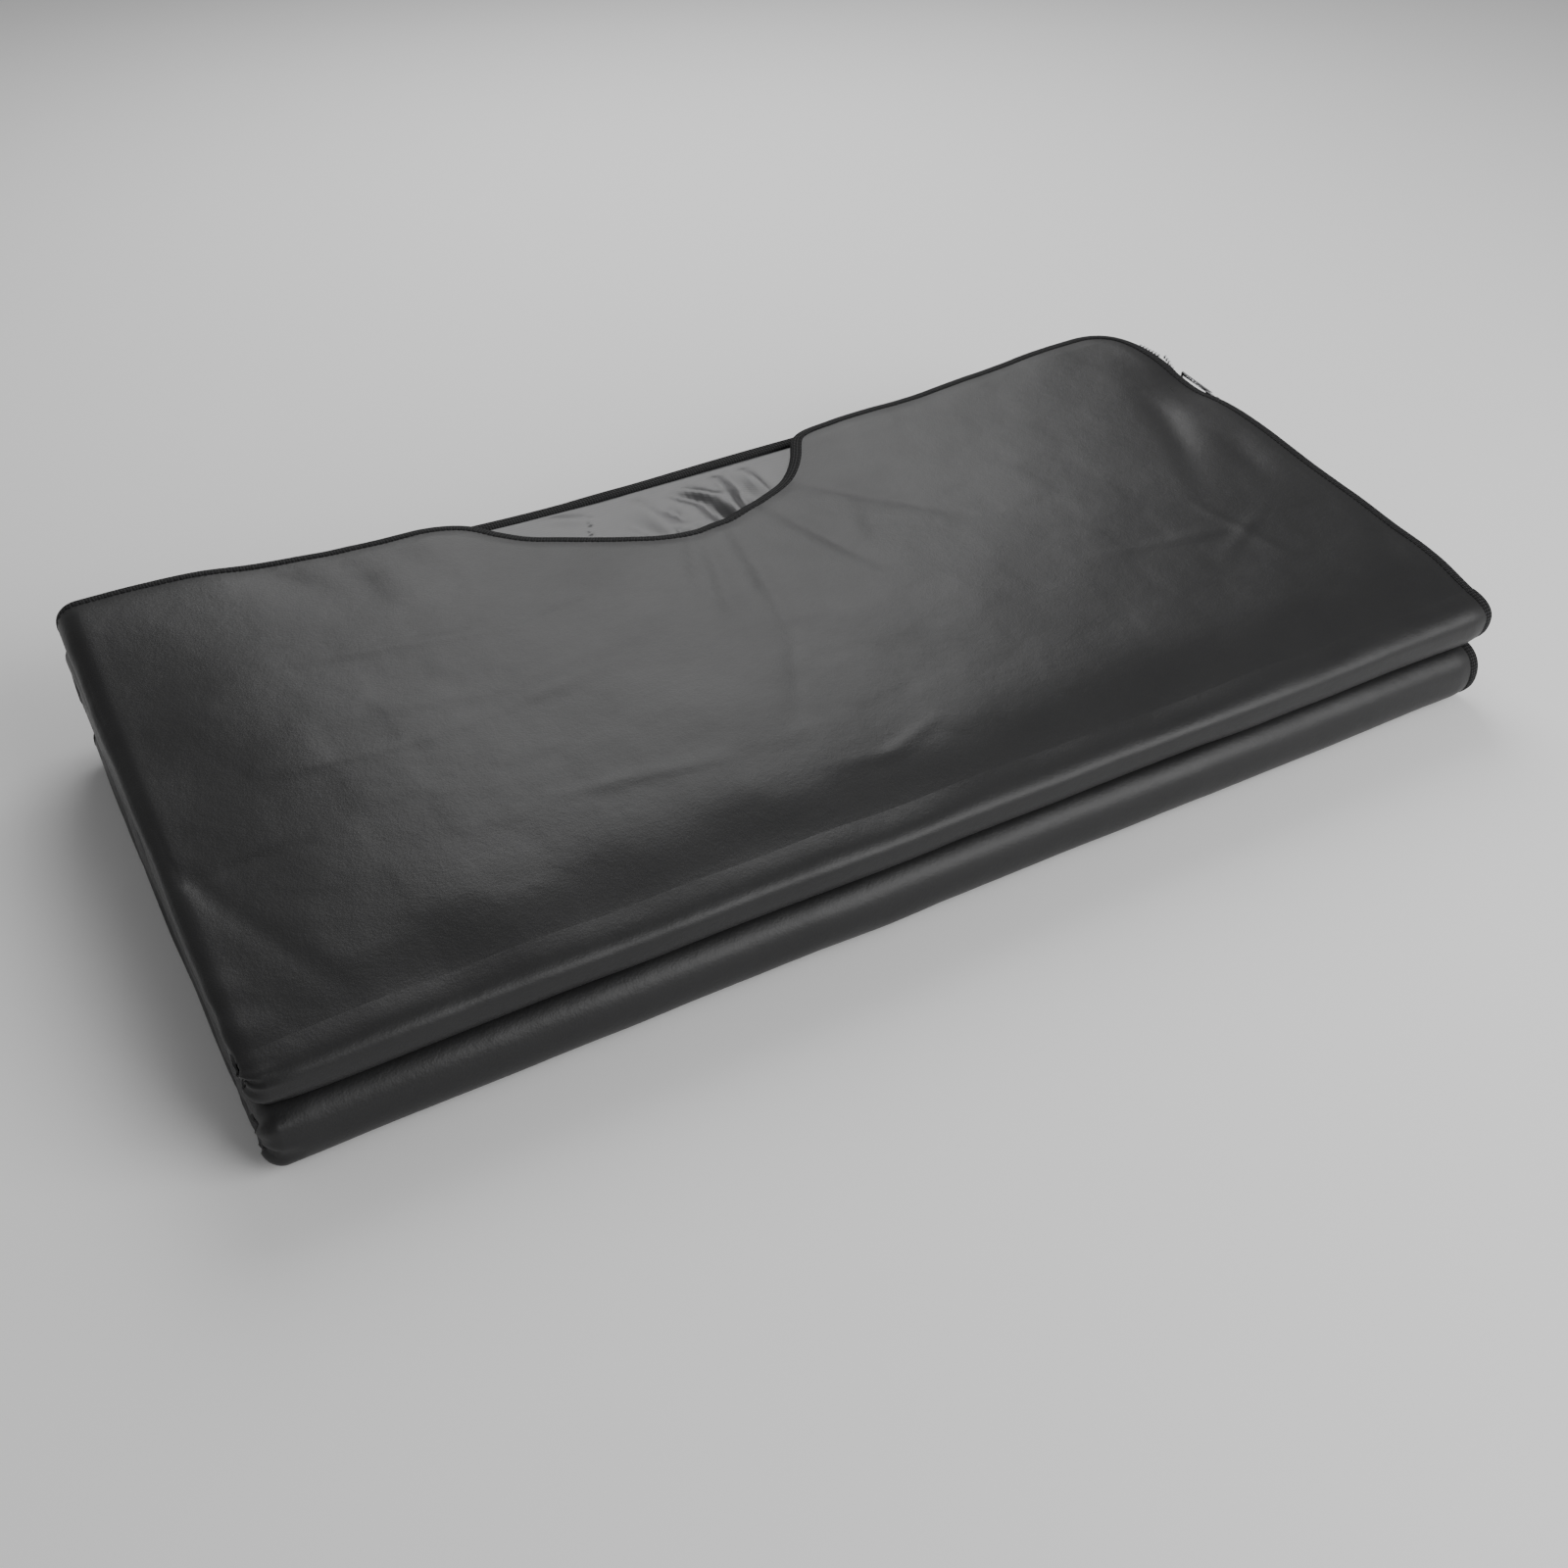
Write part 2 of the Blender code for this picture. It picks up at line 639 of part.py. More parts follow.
def temperature_sensor():
    """Temperature sensor in the padding of the cover, above the head panel's heater."""
    y = 0.0
    z = level(4, y) - PANEL_GAP - LEATHER - LAYER_GAP - 2 * POCKET_CLEARANCE - SENSOR_SIZE.z / 2
    centre = Vector((0.18, y, z))
    add_part("temperature_sensor", box(centre - SENSOR_SIZE / 2, centre + SENSOR_SIZE / 2), COPPER_RED, 0.5)
    return centre


def panel(number):
    """All layers of one panel; returns them by name."""
    k = 4 - number
    upper = "cover" if number in (1, 3) else "base"
    lower = "base" if upper == "cover" else "cover"
    layers = {
        "shell": shell(number, k),
        "insulation": insulation(number, k),
        "lining": lining(number, k),
        "upper_heater": heater(number, k, 1, f"heater_{upper}_{number}"),
        "lower_heater": heater(number, k, -1, f"heater_{lower}_{number}"),
        "upper_binding": binding(number, k, 1, f"binding_{upper}_{number}", neck=number == 1),
        "lower_binding": binding(number, k, -1, f"binding_{lower}_{number}"),
    }
    return layers


def build():
    """The whole blanket."""
    start_scene()
    panels = {number: panel(number) for number in (1, 2, 3, 4)}
    folds = {
        "lower_front": (FRONT_AXIS_Y, level(1, FRONT_AXIS_Y), FRONT_PANEL_THICKNESS, 3),
        "back": (BACK_AXIS_Y, level(2, BACK_AXIS_Y), BACK_PANEL_THICKNESS, 2),
        "upper_front": (FRONT_AXIS_Y, level(3, FRONT_AXIS_Y), FRONT_PANEL_THICKNESS, 1),
    }
    for name, (axis_y, axis_z, radius, moving) in folds.items():
        fold(name, axis_y, axis_z, radius)
        cutter = fold_cutter(name, axis_y, axis_z, radius)
        for layer in panels[moving].values():
            if "heater" not in layer.name:
                boolean(layer, cutter, "DIFFERENCE")
    for number, k in ((1, 3), (4, 0)):
        corner = free_edge_cutter(number, k, neck=False)
        for layer in ("shell", "insulation", "lining"):
            boolean(panels[number][layer], corner, "DIFFERENCE")
    neck = free_edge_cutter(1, 3, neck=True)
    for layer in ("shell", "insulation", "lining", "upper_heater"):
        boolean(panels[1][layer], neck, "DIFFERENCE")
    teeth("zip_teeth_cover", 1)
    teeth("zip_teeth_base", -1)
    zip_tape("zip_tape_cover", 1)
    zip_tape("zip_tape_base", -1)
    top_stop()
    zip_pull(zip_slider())
    for number, k in ((2, 2), (3, 1), (4, 0)):
        closed_zip(number, k)
    for number, k in ((1, 3), (2, 2), (3, 1), (4, 0)):
        boolean(panels[number]["insulation"], zip_room_cutter(number, k), "DIFFERENCE")
    socket_centre = power_socket()
    cutoff_centre = thermal_cutoff()
    socket_lead(socket_centre, cutoff_centre)
    room_centre = (socket_centre + cutoff_centre) / 2
    room_size = Vector((SOCKET_SIZE.x, 4 * SOCKET_SIZE.y, max(SOCKET_SIZE.z, CUTOFF_SIZE.z)))
    foot_pocket = pocket("socket_pocket", room_centre, room_size)
    for layer in ("insulation", "lining", "upper_binding", "lower_binding"):
        boolean(panels[4][layer], foot_pocket, "DIFFERENCE")
    sensor_centre = temperature_sensor()
    sensor_room = sensor_centre.z - level(3.5, sensor_centre.y)
    sensor_centre.z -= sensor_room / 2
    sensor_pocket = pocket("sensor_pocket", sensor_centre, SENSOR_SIZE + Vector((0, 0, sensor_room)))
    boolean(panels[1]["insulation"], sensor_pocket, "DIFFERENCE")


build()
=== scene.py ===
"""Looks of the folded infrared sauna blanket: leather skins, tape bindings, lining, zip and inner layers."""

import json
import math

import bmesh
import bpy
import numpy as np
from mathutils import Matrix, Vector


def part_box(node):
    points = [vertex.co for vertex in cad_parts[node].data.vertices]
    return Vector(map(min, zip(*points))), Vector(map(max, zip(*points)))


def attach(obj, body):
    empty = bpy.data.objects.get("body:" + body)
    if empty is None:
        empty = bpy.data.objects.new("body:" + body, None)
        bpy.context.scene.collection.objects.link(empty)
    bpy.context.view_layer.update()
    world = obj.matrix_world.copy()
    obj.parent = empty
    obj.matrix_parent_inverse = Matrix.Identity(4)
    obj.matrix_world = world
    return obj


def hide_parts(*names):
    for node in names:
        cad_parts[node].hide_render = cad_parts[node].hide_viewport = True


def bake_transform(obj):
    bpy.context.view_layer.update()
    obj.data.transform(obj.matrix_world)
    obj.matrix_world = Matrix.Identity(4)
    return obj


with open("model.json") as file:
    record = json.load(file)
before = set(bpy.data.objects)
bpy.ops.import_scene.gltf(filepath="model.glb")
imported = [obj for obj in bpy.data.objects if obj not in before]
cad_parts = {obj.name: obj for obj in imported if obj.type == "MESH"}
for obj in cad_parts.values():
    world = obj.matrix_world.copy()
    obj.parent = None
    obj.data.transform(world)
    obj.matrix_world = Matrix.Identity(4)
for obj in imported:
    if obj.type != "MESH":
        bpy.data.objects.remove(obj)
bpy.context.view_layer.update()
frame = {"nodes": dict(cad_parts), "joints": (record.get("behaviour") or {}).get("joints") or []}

# Sizes read from the frame

joints = {j["name"]: j for j in frame["joints"]}
LOWER_AXIS = Vector(joints["lower_front_fold"]["pos_m"])
BACK_AXIS = Vector(joints["back_fold"]["pos_m"])
UPPER_AXIS = Vector(joints["upper_front_fold"]["pos_m"])
FRONT_R = LOWER_AXIS.z
BACK_R = BACK_AXIS.z / 2
SLOPE = (BACK_R - FRONT_R) / (BACK_AXIS.y - LOWER_AXIS.y)
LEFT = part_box("shell_1")[0].x
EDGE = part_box("binding_cover_1")[1].x
HEAD_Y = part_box("binding_base_1")[1].y
GAP = 0.0003
TAPE_HEIGHT = 0.0052
TAPE_WIDTH = 0.0095
CORNER_RADIUS = 0.045
FULLNESS = 2.3

# Outline of the cover at the head, from the left side fold over the neck cut-out to the right corner (m)
NECK_EDGE = [
    (-0.4195, 0.195), (-0.38, 0.1962), (-0.34, 0.1945), (-0.3, 0.1902), (-0.26, 0.1875), (-0.22, 0.1872),
    (-0.185, 0.1875), (-0.164, 0.1835), (-0.15, 0.1755), (-0.139, 0.165), (-0.122, 0.151), (-0.102, 0.1405),
    (-0.08, 0.128), (-0.058, 0.1158), (-0.042, 0.1085), (-0.026, 0.1052), (-0.008, 0.1062), (0.014, 0.1102),
    (0.032, 0.117), (0.052, 0.125), (0.068, 0.134), (0.079, 0.143), (0.087, 0.152), (0.094, 0.162),
    (0.1, 0.1725), (0.107, 0.1815), (0.119, 0.1865), (0.14, 0.1875), (0.18, 0.187), (0.22, 0.1865),
    (0.26, 0.1868), (0.3, 0.1885), (0.34, 0.1912), (0.368, 0.1926), (0.386, 0.1915), (0.399, 0.1862),
    (0.409, 0.1765), (0.4155, 0.163), (0.42, 0.147), (0.4235, 0.128), (0.4262, 0.105), (0.4275, 0.08),
]


def thickness(y):
    """Height of one panel in the stack at y, before the stack settles."""
    return FRONT_R + SLOPE * (y - LOWER_AXIS.y)


def smooth(t):
    """Smooth step from 0 at t = 0 to 1 at t = 1."""
    t = np.clip(t, 0, 1)
    return t * t * (3 - 2 * t)


def settle(x, y):
    """Share of its height that the stack keeps where it has sunk in below the neck cut-out."""
    across = np.exp(-np.abs((x + 0.01) / 0.27) ** 3)
    return 1 - 0.125 * across * smooth((y + 0.11) / 0.27)


def sink(x, y, z):
    """Height after the upper half of the stack has settled below the neck cut-out, and after the uppermost
    panel has sunk in over its front fold, over the left side fold and at the zip's slider."""
    third = UPPER_AXIS.z + 3 * SLOPE * np.maximum(y - UPPER_AXIS.y, 0)
    over = np.clip((z - third) / FRONT_R, 0, 1.1)
    middle = 1 - 0.45 * np.abs(x / 0.45) ** 4
    back = y - UPPER_AXIS.y + FRONT_R - 0.012 + 0.0035 * np.sin(23 * x + 1) + 0.0025 * np.sin(61 * x)
    back = 0.5 * (back + np.sqrt(back**2 + 0.016**2))
    roll_off = 0.0120 * middle * np.exp(-((back / 0.035) ** 2))
    left_off = 0.0100 * np.exp(-(((x - LEFT) / 0.070) ** 2)) * smooth((HEAD_Y - 0.02 - y) / 0.10)
    zip_off = 0.0068 * np.exp(-(((y - 0.096) / 0.034) ** 2)) * smooth((x - 0.375) / 0.045)
    upper_half = np.clip(z - 2 * thickness(y), 0, 2 * thickness(y))
    return z - 2 * (1 - settle(x, y)) * upper_half - np.sqrt(roll_off**2 + left_off**2 + zip_off**2) * over


def spline(points, count):
    """Even points along a smooth open curve through the given points."""
    p = np.array(points, float)
    p = np.vstack([2 * p[0] - p[1], p, 2 * p[-1] - p[-2]])
    fine = []
    for a, b, c, d in zip(p, p[1:], p[2:], p[3:]):
        for t in np.linspace(0, 1, 12, endpoint=False):
            square = 2 * a - 5 * b + 4 * c - d
            cube = 3 * b - a - 3 * c + d
            fine.append(0.5 * (2 * b + (c - a) * t + square * t**2 + cube * t**3))
    fine = np.array(fine + [p[-2]])
    run = np.concatenate([[0], np.cumsum(np.linalg.norm(np.diff(fine, axis=0), axis=1))])
    even = np.linspace(0, run[-1], count)
    return np.column_stack([np.interp(even, run, fine[:, i]) for i in range(p.shape[1])])


def head_outline(neck):
    """Plan of a free edge from the left side round the right corner to the front."""
    if neck:
        curve = list(map(tuple, spline(NECK_EDGE, 260)))
    else:
        end = HEAD_Y - 0.001
        curve = [(x, end + 0.0012 * math.sin(19 * x)) for x in np.linspace(-0.4195, EDGE - CORNER_RADIUS, 60)]
        for angle in np.linspace(0, math.pi / 2, 14)[1:]:
            turn = 1 - math.cos(angle)
            curve.append((EDGE - CORNER_RADIUS * (1 - math.sin(angle)), end - CORNER_RADIUS * turn))
    front = curve[-1][1]
    curve += [(EDGE + 0.0006 * math.sin(31 * y), y) for y in np.linspace(front, UPPER_AXIS.y, 60)[1:]]
    return np.array(curve)


COVER_EDGE = head_outline(True)
BASE_EDGE = head_outline(False)
RIGHT_EDGE = np.array([(EDGE, -0.5), (EDGE, 0.5)])


def sheet_edge(number, upper):
    """Bound outline of the upper or lower sheet of a panel."""
    if number in (2, 3):
        return RIGHT_EDGE
    return COVER_EDGE if number == 1 and upper else BASE_EDGE


def edge_distance(x, y, edge):
    """Distance of each plan point to an outline."""
    points = np.column_stack([x.ravel(), y.ravel()])
    a, b = edge[:-1], edge[1:]
    along = b - a
    length2 = (along**2).sum(1)
    best = np.full(len(points), 1e9)
    for i in range(len(a)):
        t = np.clip(((points - a[i]) @ along[i]) / length2[i], 0, 1)
        best = np.minimum(best, np.linalg.norm(points - a[i] - t[:, None] * along[i], axis=1))
    return best.reshape(x.shape)


# Relief of the skins: x across, s along the cloth, from the middle line of the fold onto the panel

CREASES = [
    ((-0.346, -0.026), (-0.264, -0.037), 0.0045, 0.0008),
    ((-0.264, -0.037), (-0.13, -0.017), 0.005, 0.0007), ((-0.38, 0.083), (-0.171, 0.046), 0.005, 0.0007),
    ((-0.171, 0.046), (-0.111, 0.056), 0.005, 0.0006), ((-0.332, 0.009), (-0.203, -0.012), 0.006, 0.0005),
    ((-0.203, -0.012), (-0.022, 0.018), 0.0065, 0.0005), ((-0.013, 0.1), (-0.042, -0.007), 0.006, -0.002),
    ((0.011, 0.102), (-0.016, -0.034), 0.0055, -0.0017),
    ((-0.026, 0.092), (-0.051, 0.026), 0.0045, -0.0014), ((0.042, 0.114), (0.072, -0.002), 0.006, -0.0016),
    ((0.074, 0.133), (0.158, 0.028), 0.007, -0.0013), ((-0.016, -0.034), (-0.056, -0.117), 0.0045, -0.0006),
    ((-0.029, -0.173), (0.016, -0.158), 0.004, 0.0009),
    ((-0.057, -0.167), (-0.007, -0.172), 0.0045, 0.0006),
    ((-0.241, -0.12), (-0.141, -0.124), 0.006, 0.0005), ((-0.141, -0.124), (-0.065, -0.133), 0.006, 0.0005),
    ((-0.215, -0.116), (-0.108, -0.136), 0.004, 0.0005), ((0.31, -0.052), (0.321, -0.088), 0.004, 0.0008),
    ((0.321, -0.088), (0.33, -0.125), 0.0045, 0.0008), ((0.289, -0.105), (0.35, -0.072), 0.0045, 0.0007),
    ((0.21, -0.066), (0.325, -0.083), 0.0045, 0.0006), ((0.389, 0.133), (0.354, 0.02), 0.01, -0.0018),
    ((0.387, 0.092), (0.33, -0.027), 0.009, -0.0015), ((0.39, 0.011), (0.382, -0.038), 0.009, -0.0016),
    ((0.419, -0.12), (0.376, -0.184), 0.01, -0.0014), ((-0.425, -0.063), (-0.411, -0.103), 0.005, -0.0012),
    ((-0.418, -0.079), (-0.358, -0.084), 0.0045, -0.0008),
    ((-0.411, -0.103), (-0.375, -0.185), 0.006, -0.0008), ((-0.32, 0.186), (-0.267, 0.138), 0.011, -0.0014),
    ((-0.253, 0.182), (-0.236, 0.112), 0.011, -0.0014), ((-0.224, 0.183), (-0.188, 0.091), 0.012, -0.0013),
    ((0.091, 0.069), (0.077, 0.032), 0.006, 0.001),
]
WAVES = [
    tuple(row)
    for row in np.column_stack(
        [
            np.random.default_rng(11).uniform(0.05, 0.26, 26),
            np.random.default_rng(12).uniform(0, math.pi, 26),
            np.random.default_rng(13).uniform(0, 2 * math.pi, 26),
        ]
    )
]


def waves(x, s, shift=0.0):
    """Soft irregular undulation, between about -1 and 1."""
    total = np.zeros_like(x)
    weight = 0.0
    for length, turn, phase in WAVES:
        size = length**0.9
        along = x * math.cos(turn) + s * math.sin(turn)
        total += size * np.sin(2 * math.pi * along / length + phase + shift * (1 + 7 * length))
        weight += size * size / 2
    return total / math.sqrt(weight) / 2.2


def pads(x, s):
    """Soft edges of the heating pads under the skin, between -1 and 1."""
    columns = np.tanh(2.6 * np.sin(2 * math.pi * x / 0.0850 + 0.4))
    rows = np.tanh(2.6 * np.sin(2 * math.pi * s / 0.0920 + 0.9))
    return columns * rows


def relief(x, s, shift=0.0):
    """Height of a skin over its smooth form."""
    strength = 0.35 + 0.65 * smooth(0.5 + 0.9 * waves(x * 0.6, s * 0.6, shift + 2.0))
    return 0.0011 * waves(x, s, shift) + 0.00024 * strength * pads(x + 0.012 * shift, s)


def ridges(x, y, rows):
    """Height of single soft ridges and furrows, each from one point to another with a width and a height."""
    total = np.zeros_like(x)
    for (ax, ay), (bx, by), width, height in rows:
        dx, dy = bx - ax, by - ay
        t = np.clip(((x - ax) * dx + (y - ay) * dy) / (dx * dx + dy * dy), 0, 1)
        gap2 = (x - ax - t * dx) ** 2 + (y - ay - t * dy) ** 2
        total += height * (0.45 + 0.55 * np.sin(math.pi * t)) * np.exp(-gap2 / (width * width))
    return total


def creases(x, s):
    """Height of the single creases of the uppermost panel."""
    rows = [(start, end, 1.3 * width, height) for start, end, width, height in CREASES]
    return 0.80 * ridges(x, s + UPPER_AXIS.y, rows)


# Meshes


def grid(name, columns, rows, shape, material, closed=False, flip=False):
    """Piece from a flat grid whose (u, v) points, 0 to 1 each, are placed by shape(u, v), which also gives the
    cloth's flat coordinates. With closed, the u ends meet and are welded."""
    bm = bmesh.new()
    bmesh.ops.create_grid(bm, x_segments=columns, y_segments=rows, size=0.5)
    u = np.array([v.co.x for v in bm.verts]) + 0.5
    v = np.array([v.co.y for v in bm.verts]) + 0.5
    points, flat = shape(u, v)
    layer = bm.loops.layers.uv.new("flat")
    for vert, point in zip(bm.verts, points):
        vert.co = point
    for face in bm.faces:
        for loop in face.loops:
            loop[layer].uv = flat[loop.vert.index]
    if flip:
        bmesh.ops.reverse_faces(bm, faces=bm.faces)
    if closed:
        bmesh.ops.remove_doubles(bm, verts=bm.verts, dist=1e-6)
    piece = finished(name, bm, material)
    if not closed:
        step = 1e-4
        du = [shape(np.clip(u + way * step, 0, 1), v)[0] for way in (1, -1)]
        dv = [shape(u, np.clip(v + way * step, 0, 1))[0] for way in (1, -1)]
        normal = np.cross(du[0] - du[1], dv[0] - dv[1]) * (-1 if flip else 1)
        size = np.linalg.norm(normal, axis=1)
        piece.data.normals_split_custom_set_from_vertices(
            [tuple(n / s) if s > 1e-14 else (0.0, 0.0, 0.0) for n, s in zip(normal, size)]
        )
    return piece


def round_edges(bm, size, segments):
    """Small rounding of every edge."""
    geom = [*bm.verts, *bm.edges]
    bmesh.ops.bevel(bm, geom=geom, offset=size, segments=segments, affect="EDGES", profile=0.5, material=-1)


def finished(name, bm, material, smooth_faces=True):
    """Object of a bmesh with its material."""
    mesh = bpy.data.meshes.new(name)
    bm.to_mesh(mesh)
    bm.free()
    if smooth_faces:
        mesh.shade_smooth()
    mesh.materials.append(material)
    piece = bpy.data.objects.new(name, mesh)
    bpy.context.scene.collection.objects.link(piece)
    return piece


# Materials


class Wire:
    """Output socket of a shader node that Python arithmetic adds maths nodes to."""

    def __init__(self, graph, socket):
        self.graph = graph
        self.socket = socket

    def maths(self, operation, *others, swap=False):
        values = [self, *others]
        if swap:
            values.reverse()
        return self.graph.node("ShaderNodeMath", {"operation": operation}, dict(enumerate(values)))

    def __add__(self, other):
        return self.maths("ADD", other)

    __radd__ = __add__

    def __sub__(self, other):
        return self.maths("SUBTRACT", other)

    def __rsub__(self, other):
        return self.maths("SUBTRACT", other, swap=True)

    def __mul__(self, other):
        return self.maths("MULTIPLY", other)

    __rmul__ = __mul__

    def __truediv__(self, other):
        return self.maths("DIVIDE", other)

    def __pow__(self, other):
        return self.maths("POWER", other)

    def sine(self):
        return self.maths("SINE")

    def at_most(self, other):
        return self.maths("MINIMUM", other)


class Graph:
    """Node material under construction."""

    def __init__(self, name, color, roughness, metallic=0.0, **constants):
        self.material = bpy.data.materials.new(name)
        self.material.use_nodes = True
        self.nodes = self.material.node_tree.nodes
        self.links = self.material.node_tree.links
        self.shader = self.nodes["Principled BSDF"]
        self.set("Base Color", (*color, 1.0))
        self.set("Roughness", roughness)
        self.set("Metallic", metallic)
        for key, value in constants.items():
            self.set(key.replace("_", " "), value)

    def set(self, key, value):
        """Constant or wire on one of the shader's inputs."""
        self.feed(self.shader.inputs[key], value)

    def feed(self, socket, value):
        if isinstance(value, Wire):
            self.links.new(value.socket, socket)
        else:
            socket.default_value = value

    def node(self, kind, settings=None, inputs=None, output=0):
        node = self.nodes.new(kind)
        for key, value in (settings or {}).items():
            setattr(node, key, value)
        for key, value in (inputs or {}).items():
            self.feed(node.inputs[key], value)
        return Wire(self, node.outputs[output])

    def flat(self):
        """The cloth's own flat coordinates, in metres."""
        return self.node("ShaderNodeUVMap", {"uv_map": "flat"})

    def place(self):
        return self.node("ShaderNodeTexCoord", output="Object")

    def noise(self, vector, scale, detail=2.0, roughness=0.5):
        values = {"Vector": vector, "Scale": scale, "Detail": detail, "Roughness": roughness}
        return self.node("ShaderNodeTexNoise", {}, values)

    def cells(self, vector, scale, feature="F1"):
        return self.node("ShaderNodeTexVoronoi", {"feature": feature}, {"Vector": vector, "Scale": scale})

    def axes(self, vector):
        split = self.nodes.new("ShaderNodeSeparateXYZ")
        self.links.new(vector.socket, split.inputs[0])
        return [Wire(self, socket) for socket in split.outputs]

    def mix(self, share, low, high):
        """Colour between two constants or wires."""
        return self.node("ShaderNodeMix", {"data_type": "RGBA"}, {0: share, 6: low, 7: high}, output=2)

    def bump(self, height, distance, strength=1.0, normal=None):
        values = {"Height": height, "Distance": distance, "Strength": strength}
        if normal:
            values["Normal"] = normal
        return self.node("ShaderNodeBump", {}, values)


def leather_material():
    """Fine grained satin black artificial leather."""
    g = Graph("black_leather", (0.014, 0.014, 0.0145), 0.42, Specular_IOR_Level=0.4)
    flat = g.flat()
    pebbles = g.cells(flat, 850.0, "SMOOTH_F1")
    pores = g.noise(flat, 1700.0, 2.0)
    cloud = g.noise(flat, 9.0, 3.0)
    smear = g.noise(flat, 38.0, 4.0, 0.6)
    grain = pebbles * 0.8 + pores * 0.35
    fine = g.bump(grain, 0.00012, 0.7)
    soft = g.bump(g.noise(flat, 60.0, 4.0, 0.6), 0.0010, 0.40, fine)
    g.set("Normal", soft)
    g.set("Base Color", g.mix(cloud * 0.7 + smear * 0.3, (0.012, 0.012, 0.0125, 1), (0.017, 0.017, 0.0175, 1)))
    g.set("Roughness", 0.37 + cloud * 0.08 + smear * 0.05 + pebbles * 0.05)
    return g.material


def lining_material():
    """Shiny dark grey coated cloth with a fine twill."""
    g = Graph("lining_cloth", (0.10, 0.10, 0.103), 0.36, Specular_IOR_Level=0.5)
    x, y, _ = g.axes(g.flat())
    twill = ((x + y) * 2100.0).sine() * 0.5 + ((x - y) * 620.0).sine() * 0.15
    haze = g.noise(g.flat(), 24.0, 3.0)
    g.set("Normal", g.bump(twill, 0.00006, 0.5))
    g.set("Base Color", g.mix(haze, (0.042, 0.042, 0.044, 1), (0.060, 0.060, 0.062, 1)))
    g.set("Roughness", 0.30 + haze * 0.1 + twill * 0.03)
    return g.material


def tape_material(name="binding_tape", color=0.016):
    """Ribbed woven black tape: fine checks of lighter threads."""
    g = Graph(name, (color, color, color * 1.05), 0.72, Specular_IOR_Level=0.18)
    x, y, _ = g.axes(g.flat())
    rib = (y * 4200.0).sine() * 0.5 + 0.5
    across = (x * 3100.0).sine() * 0.5 + 0.5
    weave = rib * 0.6 + across * 0.5
    fuzz = g.noise(g.flat(), 900.0, 2.0)
    g.set("Normal", g.bump(weave + fuzz * 0.5, 0.00045, 0.9))
    light = (weave * fuzz * 1.6) ** 2.0
    dark = (color * 0.25, color * 0.25, color * 0.27, 1)
    pale = (color * 5.0, color * 5.0, color * 5.2, 1)
    g.set("Base Color", g.mix(light.at_most(1.0), dark, pale))
    g.set("Roughness", 0.65 + fuzz * 0.2)
    return g.material


def metal_material():
    """Bright nickel of the zip."""
    g = Graph("bright_nickel", (0.80, 0.80, 0.81), 0.2, 1.0)
    wear = g.noise(g.place(), 260.0, 3.0)
    g.set("Roughness", 0.14 + wear * 0.16)
    g.set("Normal", g.bump(wear, 0.0001, 0.2))
    return g.material


def plain_material(name, color, roughness, scale, depth):
    """Even material with a little grain: foam, carbon mat, plastic and the like."""
    g = Graph(name, color, roughness)
    grain = g.noise(g.place(), scale, 3.0)
    low = tuple(c * 0.88 for c in color) + (1,)
    high = tuple(min(c * 1.1, 1.0) for c in color) + (1,)
    g.set("Base Color", g.mix(grain, low, high))
    g.set("Roughness", roughness - 0.05 + grain * 0.1)
    g.set("Normal", g.bump(grain, depth, 0.5))
    return g.material


LEATHER = leather_material()
LINING = lining_material()
TAPE = tape_material(color=0.011)
ZIP_TAPE = tape_material("zip_tape_cloth", 0.02)
NICKEL = metal_material()
BATT = plain_material("polyester_batt", (0.72, 0.72, 0.69), 0.9, 700.0, 0.0008)
CARBON = plain_material("carbon_mat", (0.05, 0.05, 0.055), 0.55, 1500.0, 0.0002)
PLASTIC = plain_material("black_plastic", (0.02, 0.02, 0.02), 0.45, 1800.0, 0.00005)
COPPER = plain_material("red_lead", (0.42, 0.04, 0.035), 0.4, 800.0, 0.00005)
THREAD = plain_material("sewing_thread", (0.012, 0.012, 0.013), 0.7, 3000.0, 0.0001)

# Panels: number, place in the stack and body

PANELS = {
    1: (3, "head_panel"),
    2: (2, "hip_panel"),
    3: (1, "shin_panel"),
    4: (0, "foot_panel"),
}
FOLDS = {
    "lower_front": (LOWER_AXIS, FRONT_R, -1, "foot_panel", "shin_panel"),
    "back": (BACK_AXIS, BACK_R, 1, "shin_panel", "hip_panel"),
    "upper_front": (UPPER_AXIS, FRONT_R, -1, "hip_panel", "head_panel"),
}


def free_end(x, upper, number):
    """Y where a sheet's skin ends at the head or foot, just inside the edge of its binding."""
    if number in (2, 3):
        return np.full_like(x, BACK_AXIS.y)
    edge = COVER_EDGE if number == 1 and upper else BASE_EDGE
    back = edge[: len(edge) - 59]
    order = np.argsort(back[:, 0])
    return np.interp(x, back[order, 0], back[order, 1]) - 0.0035


def edge_drop(x, y, number, upper):
    """How far a skin falls towards its bound edge."""
    fall = 0.0022 * (1 - smooth(edge_distance(x, y, sheet_edge(number, upper)) / 0.020))
    if number in (1, 4) and not upper:
        fall = np.maximum(fall, 0.0075 * (1 - smooth((HEAD_Y - y) / 0.020)))
    return fall


def height(k, share, x, y):
    """World height of a share of panel k's thickness."""
    return sink(x, y, (k + share) * thickness(y))


